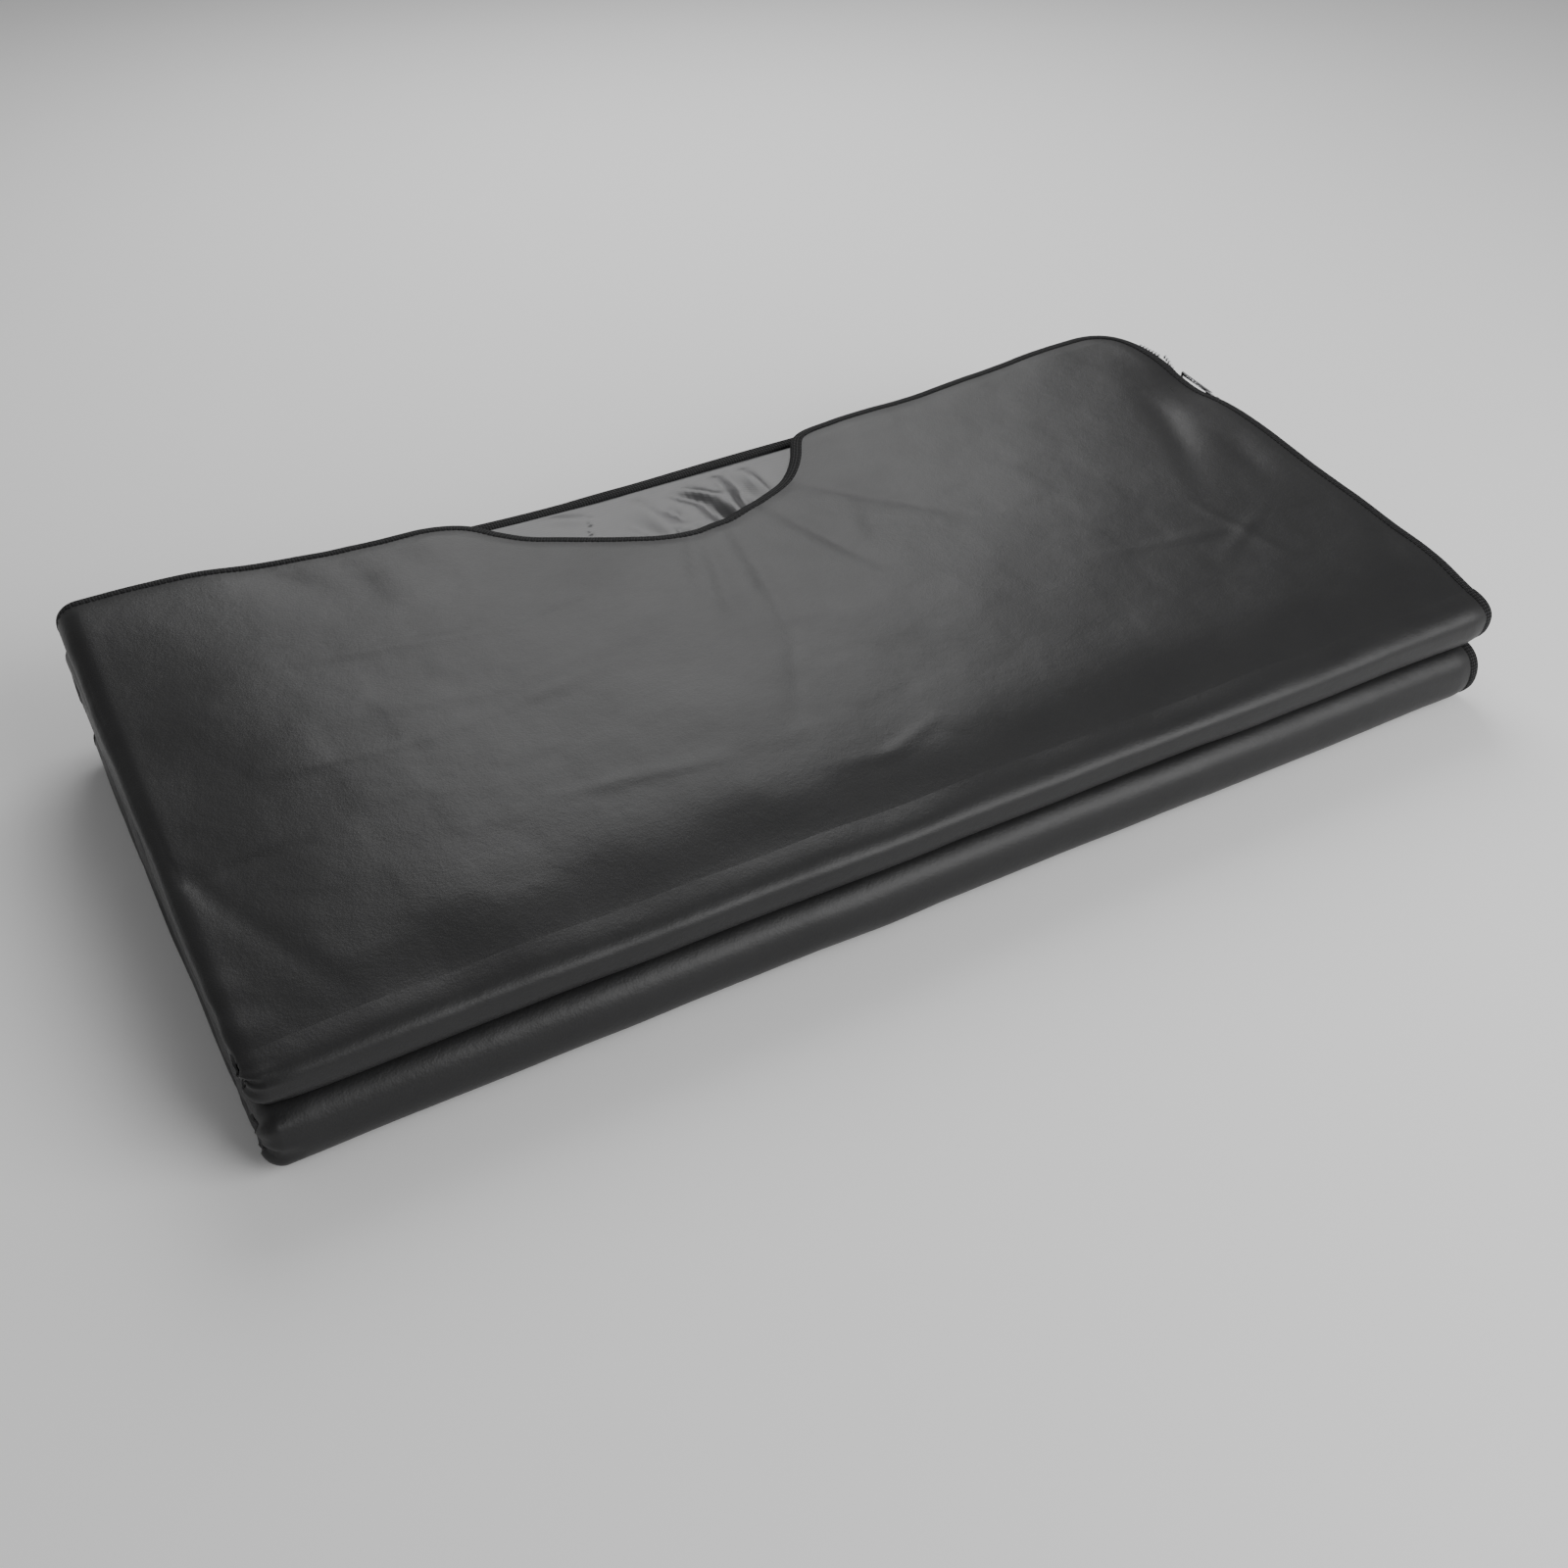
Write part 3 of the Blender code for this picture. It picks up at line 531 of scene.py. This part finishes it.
def skin_section(u, y, top_share, arc_share):
    """Where u lies round the section of a panel: x, share of the height, and the outward x and z direction."""
    r = thickness(y) / 2
    inner = GAP / (2 * r)
    right = EDGE - 0.0040
    q = np.clip(u / top_share, 0, 1)
    w = np.clip((u - top_share - arc_share) / (1 - top_share - arc_share), 0, 1)
    a = np.clip((u - top_share) / arc_share, 0, 1) * math.pi + math.pi / 2
    on_top = u <= top_share
    on_low = u >= top_share + arc_share
    x = np.where(on_top, right + (LEFT + r - right) * q**1.25, LEFT + r + r * np.cos(a))
    x = np.where(on_low, LEFT + r + (right - LEFT - r) * w, x)
    share = 0.5 + (0.5 - inner) * np.sin(a)
    share = np.where(on_top, 1 - inner, np.where(on_low, inner, share))
    nx = np.where(on_top | on_low, 0.0, np.cos(a))
    nz = np.where(on_top, 1.0, np.where(on_low, -1.0, np.sin(a)))
    run = np.where(on_top, right - x, 0) + np.where(~on_top, right - LEFT - r, 0)
    run = run + np.where(on_top, 0, np.clip(a - math.pi / 2, 0, math.pi) * r)
    run = run + np.where(on_low, x - LEFT - r, 0)
    return x, share, nx, nz, run


def left_puckers(x, s, side):
    """Small pinches of the skin where the left side fold is squeezed at a front fold."""
    near = np.exp(-(((x - LEFT) / 0.020) ** 2)) * np.exp(-((s / 0.05) ** 2))
    return -0.0016 * near * (0.5 + 0.5 * np.sin(190 * s + 1.3 * side + 60 * (x - LEFT)))


def panel_shape(number, top_share, arc_share):
    """Shape of a panel's leather skin, from the right edge over the top, round the left and back below."""
    k = PANELS[number][0]

    def shape(u, v):
        front = np.full_like(u, LOWER_AXIS.y)
        x, _, _, _, _ = skin_section(u, front + 0.19, top_share, arc_share)
        upper = u <= top_share + arc_share / 2
        end = np.where(upper, free_end(x, True, number), free_end(x, False, number))
        y = front + (end - front) * v
        x, share, nx, nz, run = skin_section(u, y, top_share, arc_share)
        s = y - LOWER_AXIS.y
        bulge = skin_relief(number, x, s, nz)
        if number in (1, 4):
            fall = np.where(nz > 0, edge_drop(x, y, number, True), edge_drop(x, y, number, False))
        else:
            fall = edge_drop(x, y, number, True)
        out = bulge - fall * np.abs(nz)
        z = height(k, share, x, y) + nz * out
        if k == 0:
            z = np.maximum(z, 0.0002)
        return np.column_stack([x + nx * out, y, z]), np.column_stack([run, s])

    return shape


def skin_relief(number, x, s, nz):
    """Relief of a panel's skin on each of its faces; faces on a neighbour stay just inside the gap."""
    side = np.sign(np.where(np.abs(nz) < 0.02, 1, nz))
    shift = np.where(side > 0, number, number + 0.5) * 1.7
    form = relief(x, s, shift) + left_puckers(x, s, side)
    if number == 1:
        form = np.where(nz > 0, form + creases(x, s), form)
        free = smooth(nz / 0.6)
    else:
        free = np.zeros_like(x)
    left = 1 - np.abs(nz) ** 4
    return form * np.maximum(free, left) + (np.minimum(0.4 * form, 0) - 0.0002) * (1 - np.maximum(free, left))


def fuller(name, rho, radius, turn):
    """Distance from a front fold's axis at a turn: a little squarer than round, the lower roll also longer."""
    squared = (np.abs(np.cos(turn)) ** FULLNESS + np.abs(np.sin(turn)) ** FULLNESS) ** (-1 / FULLNESS)
    longer = 0.0015 if name == "lower_front" else 0.0
    return rho * squared + longer * (rho / radius) * np.sin(turn) ** 2


def fold_shape(name, top_share, arc_share):
    """Shape of the skin round a fold: the panels' section swept half a turn round the fold's axis. v runs from
    the lower panel to the upper one, u from the outer skin's right edge round the left end to the axis."""
    axis, radius, side, _, _ = FOLDS[name]
    upper = {"lower_front": 3, "back": 2, "upper_front": 1}[name]
    lower = upper + 1

    def shape(u, v):
        y0 = np.full_like(u, axis.y)
        x, share, nx, nz, run = skin_section(u, y0, top_share, arc_share)
        turn = v * math.pi
        top_form = skin_relief(upper, x, 0 * u, nz)
        low_form = skin_relief(lower, x, 0 * u, -nz)
        mix = smooth(v)
        out = top_form * mix + low_form * (1 - mix)
        if side < 0:
            arc = (turn - math.pi) * radius
            swing = np.sin(turn)
            out = out + swing * (0.8 * relief(x, arc + 0.3 * upper, 1.7 * upper) * (nz > 0))
            out = out + swing * pinch(x, turn, upper, share)
        out = out - np.where(np.abs(nz) > 0.5, 0.0022 * (1 - smooth((EDGE - x) / 0.020)), 0)
        rho = share * radius
        if side < 0:
            rho = fuller(name, rho, radius, turn)
        along = x + nx * out
        y = axis.y + side * rho * np.sin(turn)
        z = sink(x, y, axis.z - rho * np.cos(turn)) - nz * out * np.cos(turn)
        y = y + side * nz * out * np.sin(turn)
        z = np.maximum(z, 0.0002)
        flat = np.column_stack([run, turn * radius - math.pi * radius])
        return np.column_stack([along, y, z]), flat

    return shape


def pinch(x, turn, number, share):
    """Lobes of gathered skin at the left end of a front fold."""
    near = np.exp(-(((x - LEFT) / 0.013) ** 2))
    lobes = np.sin(5.2 * turn + 1.1 * number) + 0.6 * np.sin(11 * turn + 0.7 * number)
    return near * (0.0016 * lobes - 0.0012)


def lining_depth(x, y, number, upper):
    """Depth of the lining below a sheet's outer skin: the sheet is thin at its bound edges."""
    full = thickness(y) / 2 - 0.0006
    edge = sheet_edge(number, True) if upper else RIGHT_EDGE
    deep = 0.0056 + (full - 0.0056) * smooth(edge_distance(x, y, edge) / 0.030)
    if number in (1, 4) and not upper:
        deep = np.minimum(deep, 0.0140 + (full - 0.0140) * smooth((HEAD_Y - y) / 0.040))
    return deep


LINING_FOLDS = [
    ((0.0, 0.168), (0.014, 0.152), 0.0054, -0.0022), ((0.014, 0.152), (0.02, 0.112), 0.00607, -0.0036),
    ((-0.012, 0.15), (-0.004, 0.122), 0.00473, -0.002), ((-0.004, 0.122), (0.006, 0.1), 0.00473, -0.0024),
    ((0.044, 0.15), (0.039, 0.126), 0.00405, -0.0024), ((-0.018, 0.124), (-0.009, 0.104), 0.00405, -0.0024),
    ((-0.07, 0.114), (-0.052, 0.128), 0.0054, -0.0026), ((0.046, 0.176), (0.051, 0.128), 0.00473, -0.0016),
    ((0.01, 0.168), (0.027, 0.15), 0.0054, 0.002), ((0.027, 0.15), (0.031, 0.114), 0.0054, 0.0024),
    ((0.036, 0.172), (0.033, 0.126), 0.00473, 0.002), ((-0.058, 0.126), (-0.043, 0.1), 0.00607, 0.0026),
    ((-0.008, 0.138), (0.001, 0.108), 0.00473, 0.002), ((-0.097, 0.178), (-0.071, 0.166), 0.00675, 0.001),
    ((-0.03, 0.168), (-0.021, 0.118), 0.00743, 0.0014), ((0.06, 0.172), (0.062, 0.136), 0.00473, 0.0018),
    ((-0.045, 0.15), (-0.03, 0.112), 0.00675, -0.0012), ((-0.068, 0.172), (-0.086, 0.126), 0.0009, -0.0006),
]


def crumple(x, y):
    """Loose folds of the base sheet's lining where the neck cut-out uncovers it, and its one seam."""
    fade = smooth((y - 0.05) / 0.05) * smooth((HEAD_Y - 0.006 - y) / 0.012)
    return ridges(x, y, LINING_FOLDS) * fade


def lining_shape(number, top_share, arc_share):
    """Inner lining of a panel, from the upper sheet's right edge round the left side to the lower sheet."""
    k = PANELS[number][0]

    def shape(u, v):
        front = np.full_like(u, LOWER_AXIS.y + 0.001)
        x, _, _, _, _ = skin_section(u, front + 0.19, top_share, arc_share)
        upper = u <= top_share + arc_share / 2
        end = np.where(upper, free_end(x, True, number), free_end(x, False, number)) - 0.001
        y = front + (end - front) * v
        x, share, nx, nz, run = skin_section(u, y, top_share, arc_share)
        half = thickness(y) / 2
        middle = height(k, 0.5, x, y)
        kept = 1 - 2 * (1 - settle(x, y)) if k >= 2 else 1.0
        tight = 0.5 * thickness(y) * kept
        deep = np.where(upper, lining_depth(x, y, number, True), lining_depth(x, y, number, False))
        offset = np.clip((half - deep) * kept, 0.0005, tight)
        z = middle + np.where(np.abs(nz) > 0.99, np.sign(nz), nz) * offset
        if number == 1:
            z = np.where(nz < -0.99, z + crumple(x, y) - 0.0015 * smooth((y - 0.04) / 0.05), z)
        x = np.where(np.abs(nz) < 0.99, LEFT + half + nx * 0.0025, np.maximum(x, LEFT + half))
        x = np.minimum(x, EDGE - 0.006)
        return np.column_stack([x, y, z]), np.column_stack([run, y])

    return shape


def inner_copy(node, step=0.035):
    """An inner layer of the frame, cut fine enough to follow the settled stack."""
    source = bpy.data.objects[node]
    bm = bmesh.new()
    bm.from_mesh(source.data)
    low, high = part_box(node)
    for axis in (0, 1):
        count = int((high[axis] - low[axis]) / step)
        for i in range(1, count + 1):
            point = Vector((0, 0, 0))
            point[axis] = low[axis] + i * (high[axis] - low[axis]) / (count + 1)
            normal = Vector((1 - axis, axis, 0))
            geom = [*bm.verts, *bm.edges, *bm.faces]
            bmesh.ops.bisect_plane(bm, geom=geom, dist=1e-7, plane_co=point, plane_no=normal)
    return bm


def fit_panel_layer(node, number, material):
    """Inner layer of a panel, thinned towards the bound edges."""
    k, body = PANELS[number]
    bm = inner_copy(node, 0.010 if number == 1 else 0.035)
    co = np.array([v.co for v in bm.verts])
    x, y, z = co.T
    if number == 1:
        steps = (-0.012, -0.006, 0.0, 0.006, 0.012)
        clear = np.minimum.reduce([free_end(x + step, True, 1) for step in steps])
        y = np.where(z > 3.5 * thickness(y), np.minimum(y, clear - 0.010), y)
        x = np.where(z > 3.5 * thickness(y), np.minimum(x, EDGE - 0.026), x)
    half = thickness(y) / 2
    side = np.sign(z - (2 * k + 1) * half)
    share = np.clip(np.abs(z - (2 * k + 1) * half) / half, 0, 1) * 0.84
    upper = side > 0
    if number == 1:
        share = np.where(upper, share, 0.44 + 0.476 * share)
    for way in (True, False):
        far = smooth(edge_distance(x, y, sheet_edge(number, way)) / 0.030)
        share = np.where(upper == way, 0.84 - 0.12 * (1 - far) - (0.84 - share) * (0.08 + 0.92 * far), share)
        if number == 1 and way:
            share = np.where(upper, share * (0.94 - 0.09 * (1 - far)), share)
    new_z = sink(x, y, (2 * k + 1) * half + side * share * half)
    x = np.maximum(x, LEFT + 0.003 + 0.3 * half * (share > 0.3))
    for vert, point in zip(bm.verts, zip(x, y, new_z)):
        vert.co = point
    bmesh.ops.dissolve_degenerate(bm, dist=1e-6, edges=bm.edges)
    piece = finished(node + "_layer", bm, material, smooth_faces=False)
    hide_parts(node)
    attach(piece, body)
    return piece


def fit_fold_layer(node, name, material):
    """Inner layer of a fold, kept inside its skin."""
    axis = FOLDS[name][0]
    bm = inner_copy(node)
    for vert in bm.verts:
        x, y, z = vert.co
        y = axis.y + (y - axis.y) * 0.84
        z = axis.z + (z - axis.z) * 0.84
        vert.co = (max(x, LEFT + 0.012), y, float(sink(x, y, z)))
    piece = finished(node + "_layer", bm, material, smooth_faces=False)
    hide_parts(node)
    blend_fold(piece, name)
    return piece


def blend_fold(piece, name):
    """The piece's placement is baked into its mesh; it is not made to open with the fold."""
    axis, radius, _, lower, upper = FOLDS[name]
    reach = radius * float(2 * settle(0, axis.y) - 1) if name == "back" else radius
    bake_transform(piece)


def tube(name, path, out, up, width, tall, material, lean=0.0):
    """Rounded flat tape along a path. out and up are its directions at each point."""
    path, out, up = (np.asarray(a, float) for a in (path, out, up))
    run = np.concatenate([[0], np.cumsum(np.linalg.norm(np.diff(path, axis=0), axis=1))])
    count = len(path)

    def shape(u, v):
        angle = 2 * math.pi * u
        c, s = np.cos(angle), np.sin(angle)
        a = np.sign(c) * np.abs(c) ** 0.62 * width / 2
        b = np.sign(s) * np.abs(s) ** 0.75 * tall / 2
        i = v * (count - 1)
        low = np.clip(i.astype(int), 0, count - 2)
        t = (i - low)[:, None]
        centre = path[low] * (1 - t) + path[low + 1] * t
        o = out[low] * (1 - t) + out[low + 1] * t
        w = up[low] * (1 - t) + up[low + 1] * t
        b = b - lean * (a / width + 0.5)
        points = centre + o * a[:, None] + w * b[:, None]
        length = run[low] + (i - low) * (run[low + 1] - run[low])
        return points, np.column_stack([length, u * 2 * (width + tall)])

    return grid(name, 16, count - 1, shape, material, closed=True, flip=True)


def plan_normals(path):
    """Outward directions of a plan path that runs with the object on its right."""
    along = np.gradient(path[:, :2], axis=0)
    along /= np.linalg.norm(along, axis=1)[:, None]
    return np.column_stack([-along[:, 1], along[:, 0], np.zeros(len(path))])


def sheet_binding(number, upper, node):
    """Binding of one sheet of a panel, from the left side over the free end and down the right side."""
    k, body = PANELS[number]
    if number in (2, 3):
        y = np.linspace(BACK_AXIS.y, LOWER_AXIS.y, 90)
        plan = np.column_stack([EDGE + 0.0007 * np.sin(31 * y + number), y])
    else:
        plan = COVER_EDGE if number == 1 and upper else BASE_EDGE
    out = plan_normals(plan)
    centre = plan - out[:, :2] * TAPE_WIDTH / 2
    x, y = centre.T
    way = 1 if upper else -1
    fall = edge_drop(plan[:, 0] - out[:, 0] * 0.004, plan[:, 1] - out[:, 1] * 0.004, number, upper)
    inner = GAP / thickness(y)
    outer = height(k, 1 - inner if upper else inner, x, y)
    form = skin_relief(number, x, y - LOWER_AXIS.y, np.full_like(x, float(way)))
    z = outer + way * (form - fall - TAPE_HEIGHT / 2 + 0.0013)
    path = np.column_stack([x, y, z])
    up = np.tile([0.0, 0.0, float(way)], (len(path), 1))
    if number in (1, 4):
        r = thickness(HEAD_Y) / 2
        turns = np.linspace(math.pi, math.pi / 2, 9)[:-1]
        start = path[0]
        arc = np.array([(LEFT + r + (r - 0.002) * math.cos(a), start[1], 0.0) for a in turns])
        rise = start[2] - height(k, 0.5, start[0], start[1])
        arc[:, 2] = height(k, 0.5, arc[:, 0], arc[:, 1]) + rise * np.sin(turns)
        path = np.vstack([arc, path])
        turned = np.column_stack([np.cos(turns), 0 * turns, way * np.sin(turns)])
        up = np.vstack([turned, up])
        out = np.vstack([np.tile([0.0, 1.0, 0.0], (len(arc), 1)), out])
    piece = tube(node + "_tape", path, out, up, TAPE_WIDTH, TAPE_HEIGHT, TAPE, lean=0.0012)
    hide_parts(node)
    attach(piece, body)
    return piece, path, out, up


def fold_binding(name, outer, node):
    """Binding of one sheet round a fold's right end."""
    axis, radius, side, _, _ = FOLDS[name]
    turn = np.linspace(0, math.pi, 28)
    if outer:
        rho = radius - GAP - 0.0022 * 0.9 - TAPE_HEIGHT / 2 + 0.0013
        x = np.full_like(turn, EDGE - TAPE_WIDTH / 2)
        tall = TAPE_HEIGHT
    else:
        rho = 0.40 * radius
        x = EDGE - TAPE_WIDTH / 2 + 0.0085 * np.sin(turn) ** 2
        tall = TAPE_HEIGHT * 0.8
    if side < 0:
        rho = fuller(name, rho, radius, turn)
    y = axis.y + side * rho * np.sin(turn)
    z = sink(x, y, axis.z - rho * np.cos(turn))
    path = np.column_stack([x, y, z])
    up = np.column_stack([0 * turn, side * np.sin(turn), -np.cos(turn)])
    out = np.tile([1.0, 0.0, 0.0], (len(path), 1))
    piece = tube(node + "_tape", path, out, up, TAPE_WIDTH, tall, TAPE, lean=0.0012)
    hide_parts(node)
    blend_fold(piece, name)
    return piece


def stitches(name, path, out, up, body, pitch=0.0038, inset=0.0033):
    """Run of sewn stitches near the inner side of a binding."""
    bm = bmesh.new()
    run = np.concatenate([[0], np.cumsum(np.linalg.norm(np.diff(path, axis=0), axis=1))])
    for at in np.arange(pitch, run[-1], pitch):
        point, along, side, top = (
            Vector([float(np.interp(at, run, a[:, i])) for i in range(3)])
            for a in (path, np.gradient(path, axis=0), out, up)
        )
        along.normalize()
        side.normalize()
        top.normalize()
        middle = point - side * inset + top * (TAPE_HEIGHT / 2 - 0.00022)
        turn = Matrix((along, side, top)).transposed().to_4x4()
        place = Matrix.Translation(middle) @ turn @ Matrix.Diagonal((pitch * 0.36, 0.00033, 0.00026, 1))
        bmesh.ops.create_icosphere(bm, subdivisions=1, radius=1.0, matrix=place)
    piece = finished(name, bm, THREAD)
    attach(piece, body)
    return piece


def zip_web(number, way):
    """Zip tape between a sheet's binding and the teeth."""
    k, body = PANELS[number]
    end = BACK_AXIS.y if number in (2, 3) else BACK_AXIS.y - CORNER_RADIUS

    def shape(u, v):
        y = LOWER_AXIS.y + 0.002 + (end - LOWER_AXIS.y - 0.002) * v
        x = EDGE - 0.0075 + 0.0042 * u
        top = height(k, 0.5 + 0.5 * way, x, y) - way * 0.0055
        low = height(k, 0.5, x, y) + way * 0.0032
        z = top + (low - top) * smooth(u * 1.15)
        return np.column_stack([x, y, z]), np.column_stack([v * 0.38, u * 0.012])

    name = f"zip_tape_{number}_{'upper' if way > 0 else 'lower'}"
    piece = grid(name, 6, 60, shape, ZIP_TAPE, flip=way > 0)
    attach(piece, body)
    return piece


def zip_teeth(name, number, ways, node):
    """Row of teeth along the zip: one row per tape, meshed where both run together."""
    k, body = PANELS[number]
    bm = bmesh.new()
    start = LOWER_AXIS.y + 0.003
    end = (BACK_AXIS.y if number in (2, 3) else BACK_AXIS.y - 0.030) - 0.003
    pitch = 0.0030
    for i in range(int((end - start) / pitch)):
        way = ways[i % len(ways)]
        y = start + i * pitch
        open_end = smooth((y - 0.095) / 0.05) if number == 1 else 0.0
        lift = 0.0009 + (0.0100 if way > 0 else 0.0040) * open_end
        x = EDGE - 0.0034 + 0.0046 * open_end
        if number == 1 and y > 0.14:
            x = float(np.interp(-y, -COVER_EDGE[150:, 1], COVER_EDGE[150:, 0])) + 0.0026
        z = float(height(k, 0.5, x, y)) + way * lift
        size = Matrix.Diagonal((0.0024, 0.0017, 0.0026, 1))
        bmesh.ops.create_cube(bm, size=1.0, matrix=Matrix.Translation((x, y, z)) @ size)
    round_edges(bm, 0.00035, 1)
    piece = finished(name, bm, NICKEL, smooth_faces=False)
    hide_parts(node)
    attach(piece, body)
    return piece


# The leather skins, with everything sewn on them

for number, (k, body) in PANELS.items():
    fine = number == 1
    shares = (0.62, 0.07) if fine else (0.5, 0.08)
    skin = grid(
        f"leather_panel_{number}", 330 if fine else 150, 110 if fine else 60,
        panel_shape(number, *shares), LEATHER,
    )
    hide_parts(f"shell_{number}")
    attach(skin, body)
    lining = grid(
        f"lining_panel_{number}", 380 if fine else 60, 230 if fine else 24,
        lining_shape(number, *((0.4, 0.05) if fine else (0.46, 0.08))), LINING, flip=True,
    )
    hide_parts(f"lining_{number}")
    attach(lining, body)
    upper_sheet = "cover" if number in (1, 3) else "base"
    lower_sheet = "base" if upper_sheet == "cover" else "cover"
    sewn = []
    for upper, sheet_name in ((True, upper_sheet), (False, lower_sheet)):
        node = f"binding_{sheet_name}_{number}"
        piece, path, out, up = sheet_binding(number, upper, node)
        sewn.append(piece)
        sewn.append(stitches(f"stitches_{sheet_name}_{number}", path, out, up, body))
        sewn.append(zip_web(number, 1 if upper else -1))
    if number == 1:
        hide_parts("zip_tape_cover")
        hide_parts("zip_tape_base")
        sewn.append(zip_teeth("zip_teeth_cover_row", 1, (1,), "zip_teeth_cover"))
        sewn.append(zip_teeth("zip_teeth_base_row", 1, (-1,), "zip_teeth_base"))
    else:
        sewn.append(zip_teeth(f"zip_chain_{number}_teeth", number, (1, -1), f"zip_chain_{number}"))
    batt = fit_panel_layer(f"insulation_{number}", number, BATT)
    for side in ("cover", "base"):
        mat_piece = fit_panel_layer(f"heater_{side}_{number}", number, CARBON)

for name, (axis, radius, side, lower, upper) in FOLDS.items():
    skin = grid(
        f"leather_fold_{name}", 200, 30, fold_shape(name, 0.6, 0.16), LEATHER,
        flip=side < 0,
    )
    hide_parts(f"fold_leather_{name}", f"fold_inner_sheet_{name}")
    blend_fold(skin, name)
    sewn = [
        fold_binding(name, True, f"fold_binding_outer_{name}"),
        fold_binding(name, False, f"fold_binding_inner_{name}"),
    ]
    fit_fold_layer(f"fold_insulation_{name}", name, BATT)
    fit_fold_layer(f"fold_lining_{name}", name, LINING)

# Hard pieces of the frame

HARD_PIECES = {
    "zip_slider": (NICKEL, "zip_metal"),
    "zip_pull": (NICKEL, "zip_metal"),
    "zip_top_stop": (NICKEL, "zip_metal"),
    "power_socket": (PLASTIC, "socket_plastic"), "thermal_cutoff": (NICKEL, "cutoff_metal"),
    "socket_lead": (COPPER, "lead"),
}
for node, (material, slot) in HARD_PIECES.items():
    piece = frame["nodes"][node]
    rounded = piece.modifiers.new("rounded_edges", "BEVEL")
    rounded.width = 0.0003
    rounded.segments = 2
    piece.data.materials.clear()
    piece.data.materials.append(material)

bm = inner_copy("temperature_sensor")
for vert in bm.verts:
    middle = 3.5 * thickness(vert.co.y)
    vert.co.z = float(sink(vert.co.x, vert.co.y, middle + (vert.co.z - middle) * 0.7))
round_edges(bm, 0.0003, 2)
sensor = finished("temperature_sensor_bead", bm, COPPER, smooth_faces=False)
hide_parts("temperature_sensor")
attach(sensor, "head_panel")

# Studio

bm = bmesh.new()
bmesh.ops.create_grid(bm, x_segments=1, y_segments=1, size=12.0)
floor_material = Graph("pale_floor", (0.93, 0.93, 0.93), 0.85).material
floor = finished("floor", bm, floor_material)
floor.location.z = -0.0006

world = bpy.data.worlds.new("studio")
bpy.context.scene.world = world
world.use_nodes = True
world.node_tree.nodes["Background"].inputs[0].default_value = (1.0, 1.0, 1.0, 1.0)
world.node_tree.nodes["Background"].inputs[1].default_value = 0.25


def softbox(name, place, target, size, power):
    """Large square studio light."""
    data = bpy.data.lights.new(name, "AREA")
    data.shape = "RECTANGLE"
    data.size, data.size_y = size
    data.energy = power
    light = bpy.data.objects.new(name, data)
    bpy.context.scene.collection.objects.link(light)
    light.location = place
    light.rotation_mode = "QUATERNION"
    light.rotation_quaternion = (Vector(target) - Vector(place)).to_track_quat("-Z", "Y")


softbox("back_light", (0.50, 1.16, 1.33), (0.0, 0.0, 0.10), (1.25, 1.40), 19)
softbox("front_top", (0.95, -1.60, 1.15), (0.05, -0.2, 0.06), (1.8, 1.3), 40)
softbox("left_fill", (-2.0, 0.1, 0.5), (-0.2, 0.0, 0.05), (0.9, 0.7), 0.8)

azimuth, elevation, roll = (math.radians(a) for a in (-28.6981, 38.8386, -0.6877))
back = Vector((
    math.sin(azimuth) * math.cos(elevation), -math.cos(azimuth) * math.cos(elevation), math.sin(elevation)
))
across = (-back).cross(Vector((0, 0, 1))).normalized()
upward = across.cross(-back)
right = across * math.cos(roll) + upward * math.sin(roll)
top = upward * math.cos(roll) - across * math.sin(roll)
camera_data = bpy.data.cameras.new("camera")
camera_data.lens = 39.892
camera = bpy.data.objects.new("camera", camera_data)
bpy.context.scene.collection.objects.link(camera)
turned = Matrix((right, top, back)).transposed().to_4x4()
camera.matrix_world = Matrix.Translation((-0.4756, -0.8628, 0.7303)) @ turned
camera_data.clip_start = 0.01
bpy.context.scene.camera = camera
